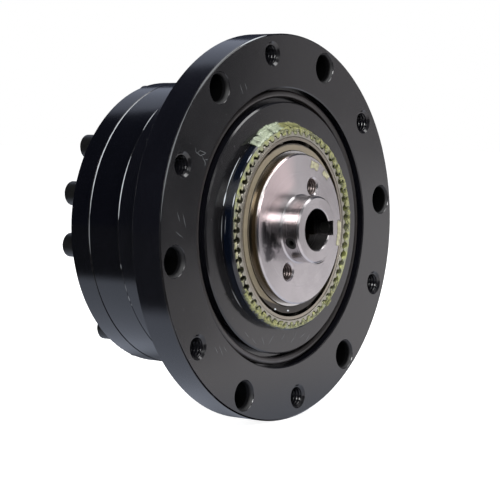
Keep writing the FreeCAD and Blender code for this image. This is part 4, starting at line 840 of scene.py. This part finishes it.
# each is a row of (radius, angle) places on the front, and the first three are a scribble in a wider line
SCRIBBLES = 3
SCRIBBLE_WIDTH = 0.2
SCRATCH_WIDTH = 0.15
SCRATCHES = [[(68.4, 142.5), (66.9, 143.7), (63.5, 143.6), (61.4, 141.3), (65.1, 142.2), (66.0, 144.0)],
             [(62.9, 143.3), (60.2, 144.4), (59.3, 146.1)], [(60.5, 143.8), (59.0, 142.9)],
             [(48.7, 229.2), (49.6, 233.5)], [(48.9, 235.7), (50.2, 239.8)], [(46.1, 243.1), (49.3, 246.1)],
             [(48.9, 249.3), (44.4, 253.3)], [(46.5, 259.8), (44.2, 263.3)], [(48.9, 267.4), (45.1, 274.1)],
             [(48.2, 276.0), (47.5, 280.7)], [(51.0, 280.0), (49.6, 283.5)], [(64.6, 216.3), (65.4, 219.4)],
             [(62.4, 217.6), (64.1, 222.1)], [(61.1, 220.4), (61.5, 223.2)], [(70.7, 164.7), (68.5, 167.8)],
             [(67.0, 165.1), (64.8, 169.7)], [(70.7, 170.9), (66.5, 173.0)], [(66.5, 110.3), (62.1, 110.4)],
             [(65.5, 107.6), (62.4, 107.6)]]


def streak(name, points, width, material, body="casing"):
    """A hair-thin ridge through points (x, y, z in mm), pointed at both ends."""
    sides = 6
    tip = 0.12
    rings = []
    last = len(points) - 1
    for k, point in enumerate(points):
        here = Vector(point)
        way = (Vector(points[min(k + 1, last)]) - Vector(points[max(k - 1, 0)])).normalized()
        side = way.orthogonal().normalized()
        up = way.cross(side)
        half = width / 2 * (tip + (1 - tip) * math.sin(math.pi * k / last))
        ring = []
        for j in range(sides):
            turn = 2 * math.pi * j / sides
            ring.append((here + (side * math.cos(turn) + up * math.sin(turn)) * half) * MM)
        rings.append(ring)
    made = make_object(name, skin_rings(rings, closed=False), material)
    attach(made, body)


def arc_streak(name, line, material, body="casing", steps=10):
    """A streak round the axis, from a line of radius, place, first angle, last angle and width."""
    radius, along, start, end, width = line
    points = [on_axis(radius, start + (end - start) * k / steps, along) for k in range(steps + 1)]
    streak(name, points, width, material, body)


def wandering(places, seed):
    """Points on the front through (radius, angle) places, a little unsteady."""
    steps = 6
    scale = 0.6
    wobble = 0.25
    spots = []
    for (radius, angle), (next_radius, next_angle) in zip(places, places[1:]):
        for j in range(steps):
            share = j / steps
            spots.append((radius + (next_radius - radius) * share, angle + (next_angle - angle) * share))
    spots.append(places[-1])
    points = []
    for radius, angle in spots:
        x, _, z = on_axis(radius, angle, 0)
        shift = noise.noise(Vector((x * scale, z * scale, seed)))
        along = INNER_FACE if radius < INNER_FACE_RADIUS else 0.0
        points.append((x + wobble * shift, along, z - wobble * shift))
    return points


def build_lines(glint, faint, dark, rim_glint):
    for k, line in enumerate(SEAMS):
        arc_streak("seam_%d" % (k + 1), line, dark, steps=40)
    for k, line in enumerate(GLINTS):
        arc_streak("glint_%d" % (k + 1), line, glint)
    arc_streak("hub_shadow_line", HUB_SHADOW_LINE, dark, "wave_generator")
    arc_streak("plug_rim_glint", PLUG_RIM_GLINT, rim_glint, steps=24)
    for k, line in enumerate(FAINT_GLINTS):
        arc_streak("faint_glint_%d" % (k + 1), line, faint)
    for k, line in enumerate(BALL_GLINTS):
        arc_streak("ball_glint_%d" % (k + 1), line, glint, "wave_generator", steps=4)
    for k, places in enumerate(SCRATCHES):
        width = SCRIBBLE_WIDTH if k < SCRIBBLES else SCRATCH_WIDTH
        streak("scratch_%d" % (k + 1), wandering(places, 3.0 * k), width, faint)


# Assembly of the looks

coat = coat_material("black_coat")
rear_coat = coat_material("rear_black_coat", (0.0011, 0.0011, 0.0019), 0.14, 5.0)
inner_coat = coat_material("inner_black_coat", (0.0032, 0.0032, 0.0046), 0.15, 2.0, teeth=True)
steel = steel_material("turned_steel")
plug_steel = steel_material("plug_steel", rough=0.25, plug=True)
ring_steel = steel_material("ground_steel", (0.55, 0.54, 0.53), 0.2, 3000.0, 0.3, 0.005 * MM)
race_steel = steel_material("oily_race_steel", (0.33, 0.3, 0.25), 0.22, 3000.0, 0.3, 0.005 * MM)
toothed_steel = steel_material("toothed_steel", (0.42, 0.4, 0.34), 0.34, 2600.0, 0.2)
# darker steel for the puller threads: painted shade inside their holes
shaded_thread_steel = steel_material("shaded_thread", (0.24, 0.2, 0.19), 0.42)
screws = screw_material("black_screws")
tan = plastic_material("tan_cage", (0.25, 0.21, 0.145))
rubber = rubber_material("black_rubber")
grease = grease_material("grease", (0.13, 0.135, 0.05), (0.4, 0.4, 0.16))
grease_film = grease_material("grease_film", (0.2, 0.24, 0.16), (0.52, 0.58, 0.42))
grease_smeared = grease_material("grease_smeared", (0.3, 0.28, 0.17), (0.5, 0.48, 0.3))
white_glint = card_material("white_glint", (0.9, 0.95, 1.0), 0.75)
# a faint glow for the faint glints and the scratches: painted highlights
faint_glint_and_scratch = card_material("faint_glint_and_scratch", (0.9, 0.95, 1.0), 0.22)
gap_shadow = card_material("gap_shadow", (0, 0, 0), 0.0)

LOOKS = {
    "flange_housing": coat, "circular_spline": inner_coat,
    "bearing_outer_ring": rear_coat, "rear_cover": rear_coat, "roller_plug": rear_coat,
    "housing_screws": screws, "spline_screws": screws, "flexspline_screws": screws, "hub_set_screws": screws,
    "retainer_screws": screws,
    "output_flange": steel, "clamp_ring": steel, "wave_plug": plug_steel, "bearing_retainer": steel,
    "wave_inner_ring": ring_steel, "wave_outer_ring": race_steel, "wave_balls": ring_steel,
    "crossed_rollers": ring_steel, "spline_dowels": ring_steel, "flexspline_dowels": ring_steel,
    "roller_plug_pin": ring_steel,
    "wave_cage": tan, "roller_spacers": tan,
    "face_o_ring": rubber, "housing_o_ring": rubber, "cover_o_ring": rubber, "output_seal": rubber,
    "flexspline": toothed_steel,
}
for node_name, material in LOOKS.items():
    paint(node_name, material)

cup = build_flexspline(toothed_steel)
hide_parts("flexspline")
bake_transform(cup)

build_threads(coat, shaded_thread_steel)
build_grease(grease, grease_film, grease_smeared)
build_lines(white_glint, faint_glint_and_scratch, gap_shadow, rim_glint_material())

build_stage()
add_camera()
bpy.context.scene.view_settings.view_transform = "Standard"
